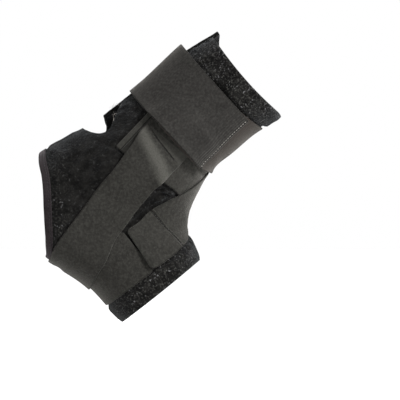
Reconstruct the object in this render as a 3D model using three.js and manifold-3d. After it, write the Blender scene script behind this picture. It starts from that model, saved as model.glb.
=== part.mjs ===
// Ankle brace: a padded sleeve with a bound heel opening, a strap under the sole side,
// two straps crossing in front of the ankle and a wide strap closing the upper end.
// Millimetres, +Z up. The form is drawn with its sole side level (forward, across, up from
// the middle of the ankle) and pitched by HEEL_RAISE at the end, the pose of the photograph.
import * as THREE from 'three';
import { mergeVertices } from 'three/addons/utils/BufferGeometryUtils.js';
import Module from 'manifold-3d';

const wasm = await Module();
wasm.setup();

// The worn form, measured from the middle of the ankle.
const LEG_RISE = 125;
const SOLE_DROP = 83;
const HEEL_REACH = 72;
const FOOT_REACH = 76;
const LEG_WIDTH = 73;
const ANKLE_WIDTH = 72;
const HEEL_WIDTH = 70;
const FOOT_WIDTH = 82;
const ANKLE_BUMP = 3;
const BUMP_PLACE = { station: 4, stations: 1.1, angle: 85, angles: 32 };
const HEEL_RAISE = 39;

// Cloth thicknesses and widths.
const WALL = 3.2;
const WEBBING = 1.4;
const TAB = 1.2;
const STRAP_WIDTH = 38;
const TOP_STRAP_WIDTH = 52;
const BINDING_WIDTH = 5.5;
const BINDING = 0.65;
const CLEARANCE = 0.8;
const LAYER_GAP = 0.9;
const CROSSING_GAP = 1.3;
const BINDING_GAP = 0.75;

// The back closure, a slit with a flap beside it on the inner side. The flap stands proud
// and rises past the rim: both grow over its edge, then fade towards the inner side and,
// for the first, down the leg.
const SLIT = 2.6;
const FLAP_PROUD = 2;
const FLAP_RISE = 5;
const FLAP_EDGE = { from: 178.5, to: 181.5 };
const FLAP_FADE = { from: 186, to: 222 };
const FLAP_FOOT = { from: 2.6, to: 3.6 };
const RIM_DIP = 3;
const RIM_DEPTH = 1.4;

// The top strap's slack at the back: none in front, all of it from there on, and what is
// left of it at the lower edge. Over the flap it stands off by a little more than the flap.
const TOP_STRAP_SLACK = 6.5;
const SLACK_SIDE = { from: 95, to: 165 };
const SLACK_FALL = 0.9;
const OVER_FLAP = 1.15;
const FLAP_SIDE = { from: 12, to: 55 };

// The sleeve's grid, and how far its cutters reach past the wall and out of an opening.
const SLEEVE_STATIONS = [0, 0.45, 0.9, 1.35, 1.8, 2.25, 2.7, 3.1, 3.5, 3.9, 4.3, 4.7, 5.1,
  5.5, 5.9, 6.3, 6.7, 7.1, 7.5, 7.9, 8.3, 8.7, 9.1, 9.5, 9.9, 10.3, 10.65, 11];
const SLEEVE_ANGLE_STEP = 11;
const SLIT_ANGLE = 178.2;
const CUT_MARGIN = 6;
const HEEL_CUT = 3.6 * HEEL_REACH;
const BACK_CUT = 1.65 * HEEL_REACH;
const SLIT_STATIONS = [3.5, 3, 2, 1, 0, -0.5];
const SLIT_DEPTH = 12;

// How far a strap stays lifted beyond the edge of what it crosses, and where it is down again.
const RIDE = 3;
const TOP_RIDE = 1.5;
const SETTLE = 12;

const COVER_REACH = 4;
const TAUT_PASSES = 6;
const LINE_PASSES = 3;
const LINE_DIVISIONS = 800;
const LOCATE_PASSES = 5;
const SCAN_STEPS = 20;
const NORMAL_STATIONS = 0.03;
const NORMAL_ANGLES = 0.8;
const WALK_STEP = 2;
const ALONG_STEP = 6;
const ACROSS_STEP = 6.3;
const HEEL_STEP = 4.2;
const BACK_STEP = 3.2;

const SLEEVE_COLOUR = 0x262627;
const BINDING_COLOUR = 0x2c282b;
const STRAP_COLOUR = 0x3d3d39;
const TOP_COLOUR = 0x403f3b;
const TAB_COLOUR = 0x454340;

// One row a section, from the upper opening down the leg, round the heel and out to the
// front opening. Forward and up are shares of the reach or rise on their side of the ankle.
const FORM = [
  { back: [-0.300, 1.000], front: [0.735, 0.887], half: 0.500 * LEG_WIDTH, egg: 0.02, square: 2.05 },
  { back: [-0.405, 0.830], front: [0.626, 0.722], half: 0.490 * LEG_WIDTH, egg: 0.05, square: 2.05 },
  { back: [-0.490, 0.635], front: [0.564, 0.532], half: 0.478 * LEG_WIDTH, egg: 0.10, square: 2.10 },
  { back: [-0.580, 0.423], front: [0.500, 0.362], half: 0.480 * ANKLE_WIDTH, egg: 0.16, square: 2.10 },
  { back: [-0.743, 0.110], front: [0.535, 0.210], half: 0.510 * ANKLE_WIDTH, egg: 0.16, square: 2.15 },
  { back: [-0.930, -0.270], front: [0.578, 0.110], half: 0.530 * ANKLE_WIDTH, egg: 0.08, square: 2.20 },
  { back: [-1.000, -0.600], front: [0.611, 0.066], half: 0.520 * HEEL_WIDTH, egg: 0.00, square: 2.25 },
  { back: [-0.880, -0.840], front: [0.643, 0.034], half: 0.520 * HEEL_WIDTH, egg: -0.04, square: 2.30 },
  { back: [-0.570, -0.970], front: [0.683, 0.002], half: 0.530 * HEEL_WIDTH, egg: -0.06, square: 2.35 },
  { back: [-0.210, -0.978], front: [0.740, -0.024], half: 0.475 * FOOT_WIDTH, egg: -0.06, square: 2.40 },
  { back: [0.297, -0.935], front: [0.850, -0.057], half: 0.485 * FOOT_WIDTH, egg: -0.06, square: 2.40 },
  { back: [0.790, -1.007], front: [1.000, -0.129], half: 0.500 * FOOT_WIDTH, egg: -0.06, square: 2.30 },
];
const LAST = FORM.length - 1;

// The outer half of the heel opening; the inner half mirrors it.
const HEEL_OPENING = [
  { station: 9.00, angle: 180 },
  { station: 9.00, angle: 165 },
  { station: 8.80, angle: 148 },
  { station: 8.30, angle: 134 },
  { station: 7.48, angle: 124 },
  { station: 6.87, angle: 122 },
  { station: 6.25, angle: 125 },
  { station: 5.69, angle: 134 },
  { station: 5.31, angle: 149 },
  { station: 5.11, angle: 164 },
  { station: 5.04, angle: 180 },
];
// The opening above the heel, from the outer side across to the inner one, whose flap
// reaches further down before the slit.
const BACK_OPENING = [
  { station: 3.24, angle: 179 },
  { station: 3.33, angle: 160 },
  { station: 3.50, angle: 147 },
  { station: 3.68, angle: 138 },
  { station: 3.80, angle: 134 },
  { station: 3.92, angle: 134.5 },
  { station: 4.02, angle: 139 },
  { station: 4.06, angle: 148 },
  { station: 4.08, angle: 160 },
  { station: 4.08, angle: 180 },
  { station: 4.08, angle: 200 },
  { station: 4.06, angle: 212 },
  { station: 4.02, angle: 221 },
  { station: 3.93, angle: 225 },
  { station: 3.84, angle: 223 },
  { station: 3.74, angle: 212 },
  { station: 3.66, angle: 198 },
  { station: 3.60, angle: 186 },
  { station: 3.42, angle: 181.5 },
];

// Centre lines of the straps. Angles run from the front over the outer side to the back;
// past 180 or below 0 they are on the inner side.
const FIGURE_EIGHT_ROUTE = [
  { station: 3.50, angle: 117 },
  { station: 3.50, angle: 96 },
  { station: 3.47, angle: 70 },
  { station: 3.43, angle: 42 },
  { station: 3.62, angle: 20 },
  { station: 4.20, angle: 0 },
  { station: 5.50, angle: -16 },
  { station: 7.40, angle: -34 },
  { station: 9.05, angle: -60 },
  { station: 9.45, angle: -79 },
  { station: 9.80, angle: -107 },
  { station: 10.02, angle: -143 },
  { station: 10.05, angle: -180 },
  { station: 10.02, angle: -217 },
  { station: 9.80, angle: -253 },
  { station: 9.45, angle: -281 },
];
const INSTEP_ROUTE = [
  { station: 3.50, angle: -117 },
  { station: 3.50, angle: -96 },
  { station: 3.50, angle: -70 },
  { station: 3.55, angle: -42 },
  { station: 3.85, angle: -20 },
  { station: 4.30, angle: 0 },
  { station: 5.20, angle: 16 },
  { station: 7.10, angle: 34 },
  { station: 8.98, angle: 60 },
  { station: 9.33, angle: 74.5 },
];
const STIRRUP_ROUTE = [
  { station: 2.45, angle: 86 },
  { station: 2.90, angle: 86 },
  { station: 3.30, angle: 84 },
  { station: 4.00, angle: 79.5 },
  { station: 5.50, angle: 75 },
  { station: 7.60, angle: 86 },
  { station: 8.94, angle: 114 },
  { station: 9.50, angle: 146 },
  { station: 9.60, angle: 180 },
];
const TOP_ROUTE = [
  { station: 2.05, angle: 104 },
  { station: 2.05, angle: 60 },
  { station: 1.82, angle: 0 },
  { station: 1.92, angle: -60 },
  { station: 2.02, angle: -120 },
  { station: 2.02, angle: -180 },
  { station: 2.04, angle: -232 },
  { station: 2.04, angle: -280 },
  { station: 2.02, angle: -319 },
];
const STIRRUP_TAB_LENGTH = 23;
const INSTEP_TAB_LENGTH = 24;
const TAB_OVERHANG = 2.5;

// The shares of the top strap's length that its first part covers, and where it goes over it.
const SELF_START = 0.3;
const SELF_OVER = 0.55;

const radians = THREE.MathUtils.degToRad;
const mirrored = (route) => route.slice(0, -1).reverse()
  .map(({ station, angle }) => ({ station, angle: 360 - angle }));

const HEEL_LOOP = [...HEEL_OPENING, ...mirrored(HEEL_OPENING).slice(0, -1)];

function smooth(value, from, to) {
  const t = THREE.MathUtils.clamp((value - from) / (to - from), 0, 1);
  return t * t * (3 - 2 * t);
}

function spline(before, start, end, after, t) {
  return 0.5 * (2 * start + (end - before) * t
    + (2 * before - 5 * start + 4 * end - after) * t * t
    + (3 * start - before - 3 * end + after) * t * t * t);
}

const ROWS = FORM.map(({ back, front, half, egg, square }) => {
  const forward = (share) => share * (share < 0 ? HEEL_REACH : FOOT_REACH);
  const up = (share) => share * (share < 0 ? SOLE_DROP : LEG_RISE);
  return [forward(back[0]), up(back[1]), forward(front[0]), up(front[1]), half, egg, square];
});

// A section of the form at any station: middle, half depth vector, half width and shape.
function section(station) {
  const index = THREE.MathUtils.clamp(Math.floor(station), 0, LAST - 1);
  const t = station - index;
  const [x0, z0, x1, z1, half, egg, square] = ROWS[0].map((value, column) => {
    const start = ROWS[index][column];
    const end = ROWS[index + 1][column];
    const before = index > 0 ? ROWS[index - 1][column] : 2 * start - end;
    const after = index + 2 <= LAST ? ROWS[index + 2][column] : 2 * end - start;
    return spline(before, start, end, after, t);
  });
  return {
    x: (x0 + x1) / 2, z: (z0 + z1) / 2, depthX: (x1 - x0) / 2, depthZ: (z1 - z0) / 2,
    half, egg, square,
  };
}

function halfWidth(cut, station, angle) {
  const side = Math.min(Math.abs(angle), Math.abs(360 - Math.abs(angle)));
  const off = Math.hypot((station - BUMP_PLACE.station) / BUMP_PLACE.stations,
    (side - BUMP_PLACE.angle) / BUMP_PLACE.angles);
  return cut.half * (1 + cut.egg * Math.cos(radians(angle))) + ANKLE_BUMP * Math.exp(-off * off);
}

function formPoint(station, angle, cut = section(station)) {
  const cos = Math.cos(radians(angle));
  const sin = Math.sin(radians(angle));
  const reach = (Math.abs(cos) ** cut.square + Math.abs(sin) ** cut.square) ** (-1 / cut.square);
  const wide = halfWidth(cut, station, angle);
  return new THREE.Vector3(
    cut.x + cut.depthX * reach * cos, -wide * reach * sin, cut.z + cut.depthZ * reach * cos);
}

function formNormal(station, angle) {
  const along = formPoint(station + NORMAL_STATIONS, angle)
    .sub(formPoint(station - NORMAL_STATIONS, angle));
  const around = formPoint(station, angle + NORMAL_ANGLES)
    .sub(formPoint(station, angle - NORMAL_ANGLES));
  return along.cross(around).normalize().negate();
}

const SCAN = Array.from({ length: LAST * SCAN_STEPS + 1 }, (_, index) =>
  ({ station: index / SCAN_STEPS, ...section(index / SCAN_STEPS) }));

// How far a point is to one side of a section's plane.
const beyond = (cut, point) =>
  (point.x - cut.x) * cut.depthZ - (point.z - cut.z) * cut.depthX;

// The station and angle on the form nearest to a point close to it.
function locate(point) {
  let index = 0;
  while (index < SCAN.length - 2 && beyond(SCAN[index], point) * beyond(SCAN[index + 1], point) > 0) {
    index += 1;
  }
  const near = beyond(SCAN[index], point);
  const far = beyond(SCAN[index + 1], point);
  const station = SCAN[index].station + near / (near - far) / SCAN_STEPS;
  const cut = section(station);
  const depth = cut.depthX ** 2 + cut.depthZ ** 2;
  const along = ((point.x - cut.x) * cut.depthX + (point.z - cut.z) * cut.depthZ) / depth;
  let angle = THREE.MathUtils.radToDeg(Math.atan2(-point.y / cut.half, along));
  for (let pass = 0; pass < LOCATE_PASSES; pass += 1) {
    const wide = halfWidth(cut, station, angle);
    angle = THREE.MathUtils.radToDeg(Math.atan2(-point.y / wide, along));
  }
  return { station, angle };
}

function onForm(point) {
  const { station, angle } = locate(point);
  return { point: formPoint(station, angle), normal: formNormal(station, angle) };
}

// A closed or open row of evenly spaced places on the form along a route.
function layLine(route, step, closed) {
  const marks = route.map(({ station, angle }) => formPoint(station, angle));
  let curve = new THREE.CatmullRomCurve3(marks, closed, 'centripetal');
  const count = Math.round(curve.getLength() / step);
  for (let pass = 0; pass < LINE_PASSES; pass += 1) {
    curve.arcLengthDivisions = LINE_DIVISIONS;
    const laid = curve.getSpacedPoints(count).map((point) => onForm(point).point);
    if (closed) laid.pop();
    curve = new THREE.CatmullRomCurve3(laid, closed, 'centripetal');
  }
  const line = curve.getSpacedPoints(count).map((point) => onForm(point));
  if (closed) line.pop();
  return line;
}

// Walks over the form from a place in one direction; returns a place at each step.
function walk(place, heading, step, count) {
  const places = [place];
  const substeps = Math.ceil(step / WALK_STEP);
  let here = place;
  let direction = heading.clone();
  for (let index = 0; index < count; index += 1) {
    for (let part = 0; part < substeps; part += 1) {
      const next = onForm(here.point.clone().addScaledVector(direction, step / substeps));
      direction = next.point.clone().sub(here.point);
      direction.addScaledVector(next.normal, -direction.dot(next.normal)).normalize();
      here = next;
    }
    places.push(here);
  }
  return places;
}

// The band of places a strap covers: rows along it, each from one edge to the other.
function layBand(route, width) {
  const line = layLine(route, ALONG_STEP, false);
  const cells = 2 * Math.round(width / ACROSS_STEP / 2);
  const rows = line.map((place, index) => {
    const before = line[Math.max(index - 1, 0)].point;
    const after = line[Math.min(index + 1, line.length - 1)].point;
    const side = after.clone().sub(before).cross(place.normal).normalize();
    const right = walk(place, side, width / cells, cells / 2);
    const left = walk(place, side.clone().negate(), width / cells, cells / 2);
    return [...left.slice(1).reverse(), ...right];
  });
  return { line: line.map(({ point }) => point), rows, width };
}

// How far a point lies outside the strip that a line and a width make; below 0 is inside.
function outside(point, line, width) {
  let least = Infinity;
  for (let index = 0; index + 1 < line.length; index += 1) {
    const span = line[index + 1].clone().sub(line[index]);
    const reach = point.clone().sub(line[index]);
    const share = reach.dot(span) / span.lengthSq();
    const past = Math.max(0, -share, share - 1) * span.length();
    const aside = reach.addScaledVector(span, -share).length() - width / 2;
    least = Math.min(least, Math.max(past, aside));
  }
  return least;
}

// How high a strap has to stand at a place to clear all that lies under it.
function heightOver(place, under, ride = RIDE) {
  return under.reduce((height, { line, width, cover }) => {
    const clear = outside(place.point, line, width);
    if (clear > SETTLE) return height;
    const reaches = cover.map(({ point }) => point.distanceTo(place.point));
    const near = Math.min(...reaches) + COVER_REACH;
    const top = Math.max(...cover.filter((_, index) => reaches[index] < near).map(({ top }) => top));
    return Math.max(height, top * (1 - smooth(clear, ride, SETTLE)));
  }, CLEARANCE);
}

function closedMesh(points, triangles) {
  const geometry = new THREE.BufferGeometry();
  geometry.setAttribute('position',
    new THREE.Float32BufferAttribute(points.flatMap((point) => point.toArray()), 3));
  geometry.setIndex(triangles.flat());
  const volume = triangles.reduce((sum, [a, b, c]) =>
    sum + points[a].dot(points[b].clone().cross(points[c])), 0);
  if (volume < 0) geometry.setIndex(triangles.flatMap(([a, b, c]) => [a, c, b]));
  return geometry;
}

const quad = (a, b, c, d) => [[a, b, c], [a, c, d]];

// A sheet with an outer and an inner grid of points, open at its edges or joined round.
function sheetSolid(outer, inner, joined) {
  const rows = outer.length;
  const columns = outer[0].length;
  const out = (row, column) => row * columns + (column % columns);
  const inn = (row, column) => rows * columns + out(row, column);
  const triangles = [];
  const last = joined ? columns : columns - 1;
  for (let row = 0; row + 1 < rows; row += 1) {
    for (let column = 0; column < last; column += 1) {
      triangles.push(...quad(
        out(row, column), out(row, column + 1), out(row + 1, column + 1), out(row + 1, column)));
      triangles.push(...quad(
        inn(row, column), inn(row + 1, column), inn(row + 1, column + 1), inn(row, column + 1)));
    }
    if (!joined) {
      triangles.push(...quad(out(row, 0), out(row + 1, 0), inn(row + 1, 0), inn(row, 0)));
      triangles.push(...quad(out(row, last), inn(row, last), inn(row + 1, last), out(row + 1, last)));
    }
  }
  for (let column = 0; column < last; column += 1) {
    const end = rows - 1;
    triangles.push(...quad(inn(0, column), inn(0, column + 1), out(0, column + 1), out(0, column)));
    triangles.push(...quad(
      out(end, column), out(end, column + 1), inn(end, column + 1), inn(end, column)));
  }
  return closedMesh([...outer.flat(), ...inner.flat()], triangles);
}

// Sections joined one after another into a ring, or capped by a point at each end.
function loftSolid(sections, caps) {
  const size = sections[0].length;
  const points = sections.flat();
  const triangles = [];
  const spans = caps ? sections.length - 1 : sections.length;
  for (let index = 0; index < spans; index += 1) {
    const next = (index + 1) % sections.length;
    for (let corner = 0; corner < size; corner += 1) {
      const after = (corner + 1) % size;
      triangles.push(...quad(
        index * size + corner, index * size + after, next * size + after, next * size + corner));
    }
  }
  if (caps) {
    const first = points.push(caps[0]) - 1;
    const last = points.push(caps[1]) - 1;
    const base = (sections.length - 1) * size;
    for (let corner = 0; corner < size; corner += 1) {
      const after = (corner + 1) % size;
      triangles.push([first, after, corner], [last, base + corner, base + after]);
    }
  }
  return closedMesh(points, triangles);
}

// Draws a strap taut: each place is at least as high as it must be and no hollow stays.
function tauten(needed) {
  let heights = needed;
  for (let pass = 0; pass < TAUT_PASSES; pass += 1) {
    heights = heights.map((row, index) => row.map((height, column) => {
      const above = heights[Math.max(index - 1, 0)][column];
      const below = heights[Math.min(index + 1, heights.length - 1)][column];
      const left = row[Math.max(column - 1, 0)];
      const right = row[Math.min(column + 1, row.length - 1)];
      return Math.max(needed[index][column], (above + below + left + right) / 4);
    }));
  }
  return heights;
}

// A strap laid on the form over what is under it, with what it is then for the next ones.
function layStrap(band, thickness, gap, height) {
  const heights = tauten(band.rows.map((row, index) => row.map((place, column) =>
    height(place, index / (band.rows.length - 1), column / (row.length - 1)))));
  const raised = (extra) => band.rows.map((row, index) => row.map((place, column) =>
    place.point.clone().addScaledVector(place.normal, heights[index][column] + extra)));
  const cover = band.rows.flatMap((row, index) => row.map(({ point }, column) =>
    ({ point, top: heights[index][column] + thickness + gap })));
  const solid = sheetSolid(raised(thickness), raised(0), false);
  return { solid, line: band.line, width: band.width, cover };
}

function toManifold(geometry) {
  const merged = mergeVertices(geometry);
  return new wasm.Manifold(new wasm.Mesh({
    numProp: 3,
    vertProperties: new Float32Array(merged.attributes.position.array),
    triVerts: new Uint32Array(merged.index.array),
  }));
}

function fromManifold(solid) {
  const mesh = solid.getMesh();
  const geometry = new THREE.BufferGeometry();
  geometry.setAttribute('position', new THREE.Float32BufferAttribute(mesh.vertProperties, 3));
  geometry.setIndex([...mesh.triVerts]);
  return geometry;
}

const share = (value, { from, to }) => smooth(value, from, to);

const inFlap = (angle) => share(angle, FLAP_EDGE) * (1 - share(angle, FLAP_FADE));
const flapProud = (station) => FLAP_PROUD * (1 - share(station, FLAP_FOOT));

// The sleeve before its openings are cut.
function sleeveTube() {
  const count = Math.round(SLIT_ANGLE / SLEEVE_ANGLE_STEP);
  const half = Array.from({ length: count }, (_, index) => index * SLEEVE_ANGLE_STEP);
  const angles = [...half, SLIT_ANGLE, ...half.map((angle) => 360 - SLIT_ANGLE + angle)];
  const grid = (depth) => SLEEVE_STATIONS.map((level) => angles.map((angle) => {
    const side = Math.sin(radians(angle)) ** 2;
    const span = FORM[0].back[1] - FORM[1].back[1];
    const rim = (RIM_DIP * side - FLAP_RISE * inFlap(angle)) / (span * LEG_RISE);
    const station = level + rim * (1 - smooth(level, 0, RIM_DEPTH));
    const out = flapProud(level) * inFlap(angle) - depth;
    return formPoint(station, angle).addScaledVector(formNormal(station, angle), out);
  }));
  return sheetSolid(grid(0), grid(WALL), true);
}

const middle = (points) => points.reduce((sum, point) => sum.add(point), new THREE.Vector3())
  .divideScalar(points.length);

// A wedge through the wall round one opening, its sides square to the wall.
function openingCutter(loop, reach) {
  const ring = (offset) => loop.map(({ point, normal }) =>
    point.clone().addScaledVector(normal, offset));
  const sections = [ring(-WALL - CUT_MARGIN), ring(CUT_MARGIN)];
  const inside = middle(sections[0]);
  const outward = middle(sections[1]).sub(inside).normalize();
  return loftSolid(sections, [inside, inside.clone().addScaledVector(outward, reach)]);
}

// The slit from the back opening up past the rim.
function slitCutter() {
  const sections = [-SLIT / 2, SLIT / 2].map((side) => {
    const edge = (depth) => SLIT_STATIONS.map((station) => formPoint(station, 180)
      .addScaledVector(formNormal(station, 180), depth).setY(side));
    return [...edge(SLIT_DEPTH), ...edge(-SLIT_DEPTH).reverse()];
  });
  return loftSolid(sections, sections.map(middle));
}

const heelLine = layLine(HEEL_LOOP, HEEL_STEP, true);
const backLine = layLine(BACK_OPENING, BACK_STEP, true);

function sleeve() {
  return [openingCutter(heelLine, HEEL_CUT), openingCutter(backLine, BACK_CUT), slitCutter()]
    .reduce((cloth, cutter) => cloth.subtract(toManifold(cutter)), toManifold(sleeveTube()));
}

// Folded over the edge of the heel opening, outside and inside.
function heelBinding() {
  const reach = [BINDING_WIDTH, -BINDING_GAP, -BINDING_GAP - BINDING];
  const outer = BINDING_GAP;
  const inner = -WALL - BINDING_GAP;
  const profile = [
    [reach[0], outer], [reach[1], outer], [reach[1], inner], [reach[0], inner],
    [reach[0], inner - BINDING], [reach[2], inner - BINDING], [reach[2], outer + BINDING],
    [reach[0], outer + BINDING],
  ];
  const sections = heelLine.map(({ point, normal }, index) => {
    const next = heelLine[(index + 1) % heelLine.length].point;
    const before = heelLine[(index + heelLine.length - 1) % heelLine.length].point;
    const away = next.clone().sub(before).cross(normal).normalize();
    const covered = walk({ point, normal }, away, BINDING_WIDTH, 1)[1];
    return profile.map(([aside, height]) => (aside === BINDING_WIDTH
      ? covered.point.clone().addScaledVector(covered.normal, height)
      : point.clone().addScaledVector(away, aside).addScaledVector(normal, height)));
  });
  return loftSolid(sections, null);
}

const figureEight = layBand(FIGURE_EIGHT_ROUTE, STRAP_WIDTH);
const instep = layBand(INSTEP_ROUTE, STRAP_WIDTH);
const stirrup = layBand([...STIRRUP_ROUTE, ...mirrored(STIRRUP_ROUTE)], STRAP_WIDTH);
const top = layBand(TOP_ROUTE, TOP_STRAP_WIDTH);

// The rows of a band within a length of one end, on a little past it.
function endOf(band, length, atStart) {
  const step = band.line[0].distanceTo(band.line[1]);
  const count = Math.round(length / step) + 1;
  const rows = atStart ? band.rows.slice(0, count) : band.rows.slice(-count);
  const line = atStart ? band.line.slice(0, count) : band.line.slice(-count);
  const edge = atStart ? 0 : count - 1;
  const inner = atStart ? 1 : count - 2;
  const overhang = rows[edge].map((place, column) => {
    const direction = place.point.clone().sub(rows[inner][column].point).normalize();
    return walk(place, direction, TAB_OVERHANG, 1)[1];
  });
  const tip = overhang[(overhang.length - 1) / 2].point;
  return atStart
    ? { line: [tip, ...line], rows: [overhang, ...rows], width: band.width }
    : { line: [...line, tip], rows: [...rows, overhang], width: band.width };
}
const instepTab = endOf(instep, INSTEP_TAB_LENGTH, false);
const outerTab = endOf(stirrup, STIRRUP_TAB_LENGTH, true);
const innerTab = endOf(stirrup, STIRRUP_TAB_LENGTH, false);

const onBinding = {
  line: [...heelLine.map(({ point }) => point), heelLine[0].point],
  width: 2 * BINDING_WIDTH,
  cover: heelLine.map(({ point }) => ({ point, top: BINDING_GAP + BINDING + LAYER_GAP })),
};
const lay = (band, thickness, under, gap = LAYER_GAP) =>
  layStrap(band, thickness, gap, (place) => heightOver(place, under));
const onFigureEight = lay(figureEight, WEBBING, [onBinding], CROSSING_GAP);
const onInstep = lay(instep, WEBBING, [onBinding, onFigureEight]);
const onInstepTab = lay(instepTab, TAB, [onFigureEight, onInstep]);
const underStirrup = [onBinding, onFigureEight, onInstep, onInstepTab];
const onStirrup = lay(stirrup, WEBBING, underStirrup);
const onOuterTab = lay(outerTab, TAB, [...underStirrup, onStirrup]);
const onInnerTab = lay(innerTab, TAB, [...underStirrup, onStirrup]);
const underTop = [...underStirrup, onStirrup, onOuterTab, onInnerTab];

// The top strap lies close in front and stands off at the back, most at its upper edge.
function topHeight(place, across) {
  const { station, angle } = locate(place.point);
  const back = share(Math.abs(angle), SLACK_SIDE);
  const slack = TOP_STRAP_SLACK * back * (1 - SLACK_FALL * across);
  const flap = flapProud(station) * (1 - share(180 - Math.abs(angle), FLAP_SIDE));
  return Math.max(
    heightOver(place, underTop, TOP_RIDE), CLEARANCE + Math.max(slack, OVER_FLAP * flap));
}

// Its first part is laid once alone, so that its last part can go over it.
const startCount = Math.round(SELF_START * top.line.length);
const topStart = layStrap(
  { line: top.line.slice(0, startCount), rows: top.rows.slice(0, startCount), width: top.width },
  WEBBING, LAYER_GAP, (place, along, across) => topHeight(place, across));
const onTop = layStrap(top, WEBBING, 0, (place, along, across) => Math.max(
  topHeight(place, across), along > SELF_OVER ? heightOver(place, [topStart]) : 0));

const pieces = [
  ['sleeve', fromManifold(sleeve()), SLEEVE_COLOUR, 0.97],
  ['heel_binding', heelBinding(), BINDING_COLOUR, 0.9],
  ['figure_eight_strap', onFigureEight.solid, STRAP_COLOUR, 0.93],
  ['instep_strap', onInstep.solid, STRAP_COLOUR, 0.93],
  ['instep_tab', onInstepTab.solid, TAB_COLOUR, 0.9],
  ['stirrup_strap', onStirrup.solid, STRAP_COLOUR, 0.93],
  ['stirrup_tab_outer', onOuterTab.solid, TAB_COLOUR, 0.9],
  ['stirrup_tab_inner', onInnerTab.solid, TAB_COLOUR, 0.9],
  ['top_strap', onTop.solid, TOP_COLOUR, 0.92],
];

const brace = new THREE.Group();
brace.name = 'ankle_brace';
for (const [name, geometry, colour, roughness] of pieces) {
  geometry.rotateY(radians(HEEL_RAISE));
  const merged = mergeVertices(geometry);
  const material = new THREE.MeshStandardMaterial({ color: colour, roughness, metalness: 0 });
  const mesh = new THREE.Mesh(merged, material);
  mesh.name = name;
  brace.add(mesh);
}

export default brace;
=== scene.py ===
"""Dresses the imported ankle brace: the foam sleeve with its folds, the tape round the heel
opening, the four straps with their end tabs, and the stitches that hold them together."""
import math

import bpy
import numpy as np
from bpy.props import FloatProperty, FloatVectorProperty, PointerProperty
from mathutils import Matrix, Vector


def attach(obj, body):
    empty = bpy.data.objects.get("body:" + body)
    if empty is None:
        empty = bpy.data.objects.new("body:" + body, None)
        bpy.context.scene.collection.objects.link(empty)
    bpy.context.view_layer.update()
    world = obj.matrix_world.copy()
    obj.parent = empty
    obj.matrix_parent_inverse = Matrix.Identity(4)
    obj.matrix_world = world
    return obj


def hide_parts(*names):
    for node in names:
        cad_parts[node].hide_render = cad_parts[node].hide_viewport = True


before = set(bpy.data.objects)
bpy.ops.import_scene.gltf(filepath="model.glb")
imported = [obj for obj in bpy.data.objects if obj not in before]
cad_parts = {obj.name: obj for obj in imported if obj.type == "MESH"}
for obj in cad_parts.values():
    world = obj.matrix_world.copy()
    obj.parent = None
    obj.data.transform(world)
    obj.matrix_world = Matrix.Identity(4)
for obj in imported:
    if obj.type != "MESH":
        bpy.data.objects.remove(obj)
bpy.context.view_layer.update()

bl_info = {
    "name": "Ankle Brace",
    "version": (1, 0, 0),
    "blender": (4, 5, 0),
    "location": "3D View > Sidebar > Brace",
    "description": "Builds the cloth, straps and stitches of an ankle brace",
    "category": "Add Mesh",
}

MM = 0.001

# The worn form, in millimetres from the middle of the ankle, with its sole side level.
LEG_RISE, SOLE_DROP, HEEL_REACH, FOOT_REACH = 125.0, 83.0, 72.0, 76.0
LEG_WIDTH, ANKLE_WIDTH, HEEL_WIDTH, FOOT_WIDTH = 73.0, 72.0, 70.0, 82.0
ANKLE_BUMP = 3.0
BUMP_STATION, BUMP_STATIONS, BUMP_ANGLE, BUMP_ANGLES = 4.0, 1.1, 85.0, 32.0
HEEL_RAISE = 39.0
WALL = 3.2
STRAP_WIDTH, TOP_STRAP_WIDTH = 38.0, 52.0
BINDING_WIDTH = 5.5
SLIT, SLIT_END, FLAP_PROUD, FLAP_RISE, RIM_DIP, RIM_DEPTH = 2.6, 3.6, 2.0, 5.0, 3.0, 1.4
TOP_STRAP_SLACK, SLACK_FALL, OVER_FLAP = 6.5, 0.9, 1.15
LOWER_EDGE_LIFT = 1.0

# Steps and counts of the grids: the form's lines, bands, opening edges, sleeve and loose cloth.
ROUTE_STEP, EDGE_STEP, FOLD_STEP, ALONG_STEP, ACROSS_STEP = 6, 1.25, 3.0, 1.5, 1.35
SLEEVE_ROWS, SLEEVE_COLUMNS, SLEEVE_SNAP = 178, 204, 0.42
PUCKER_ROWS, PUCKER_DEGREES, PUCKER_SCALE, PUCKER_FRAMES = 78, 4.5, 100, 20
TAUT_PASSES, TAB_PASSES = 26, 8

# A section a row: forward and up of its back, forward and up of its front (shares of the
# reach or rise on their side of the ankle), half width, egg and squareness.
FORM = [
    (-0.300, 1.000, 0.735, 0.887, 0.500 * LEG_WIDTH, 0.02, 2.05),
    (-0.405, 0.830, 0.626, 0.722, 0.490 * LEG_WIDTH, 0.05, 2.05),
    (-0.490, 0.635, 0.564, 0.532, 0.478 * LEG_WIDTH, 0.10, 2.10),
    (-0.580, 0.423, 0.500, 0.362, 0.480 * ANKLE_WIDTH, 0.16, 2.10),
    (-0.743, 0.110, 0.535, 0.210, 0.510 * ANKLE_WIDTH, 0.16, 2.15),
    (-0.930, -0.270, 0.578, 0.110, 0.530 * ANKLE_WIDTH, 0.08, 2.20),
    (-1.000, -0.600, 0.611, 0.066, 0.520 * HEEL_WIDTH, 0.00, 2.25),
    (-0.880, -0.840, 0.643, 0.034, 0.520 * HEEL_WIDTH, -0.04, 2.30),
    (-0.570, -0.970, 0.683, 0.002, 0.530 * HEEL_WIDTH, -0.06, 2.35),
    (-0.210, -0.978, 0.740, -0.024, 0.475 * FOOT_WIDTH, -0.06, 2.40),
    (0.297, -0.935, 0.850, -0.057, 0.485 * FOOT_WIDTH, -0.06, 2.40),
    (0.790, -1.007, 1.000, -0.129, 0.500 * FOOT_WIDTH, -0.06, 2.30),
]
LAST = len(FORM) - 1

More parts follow.
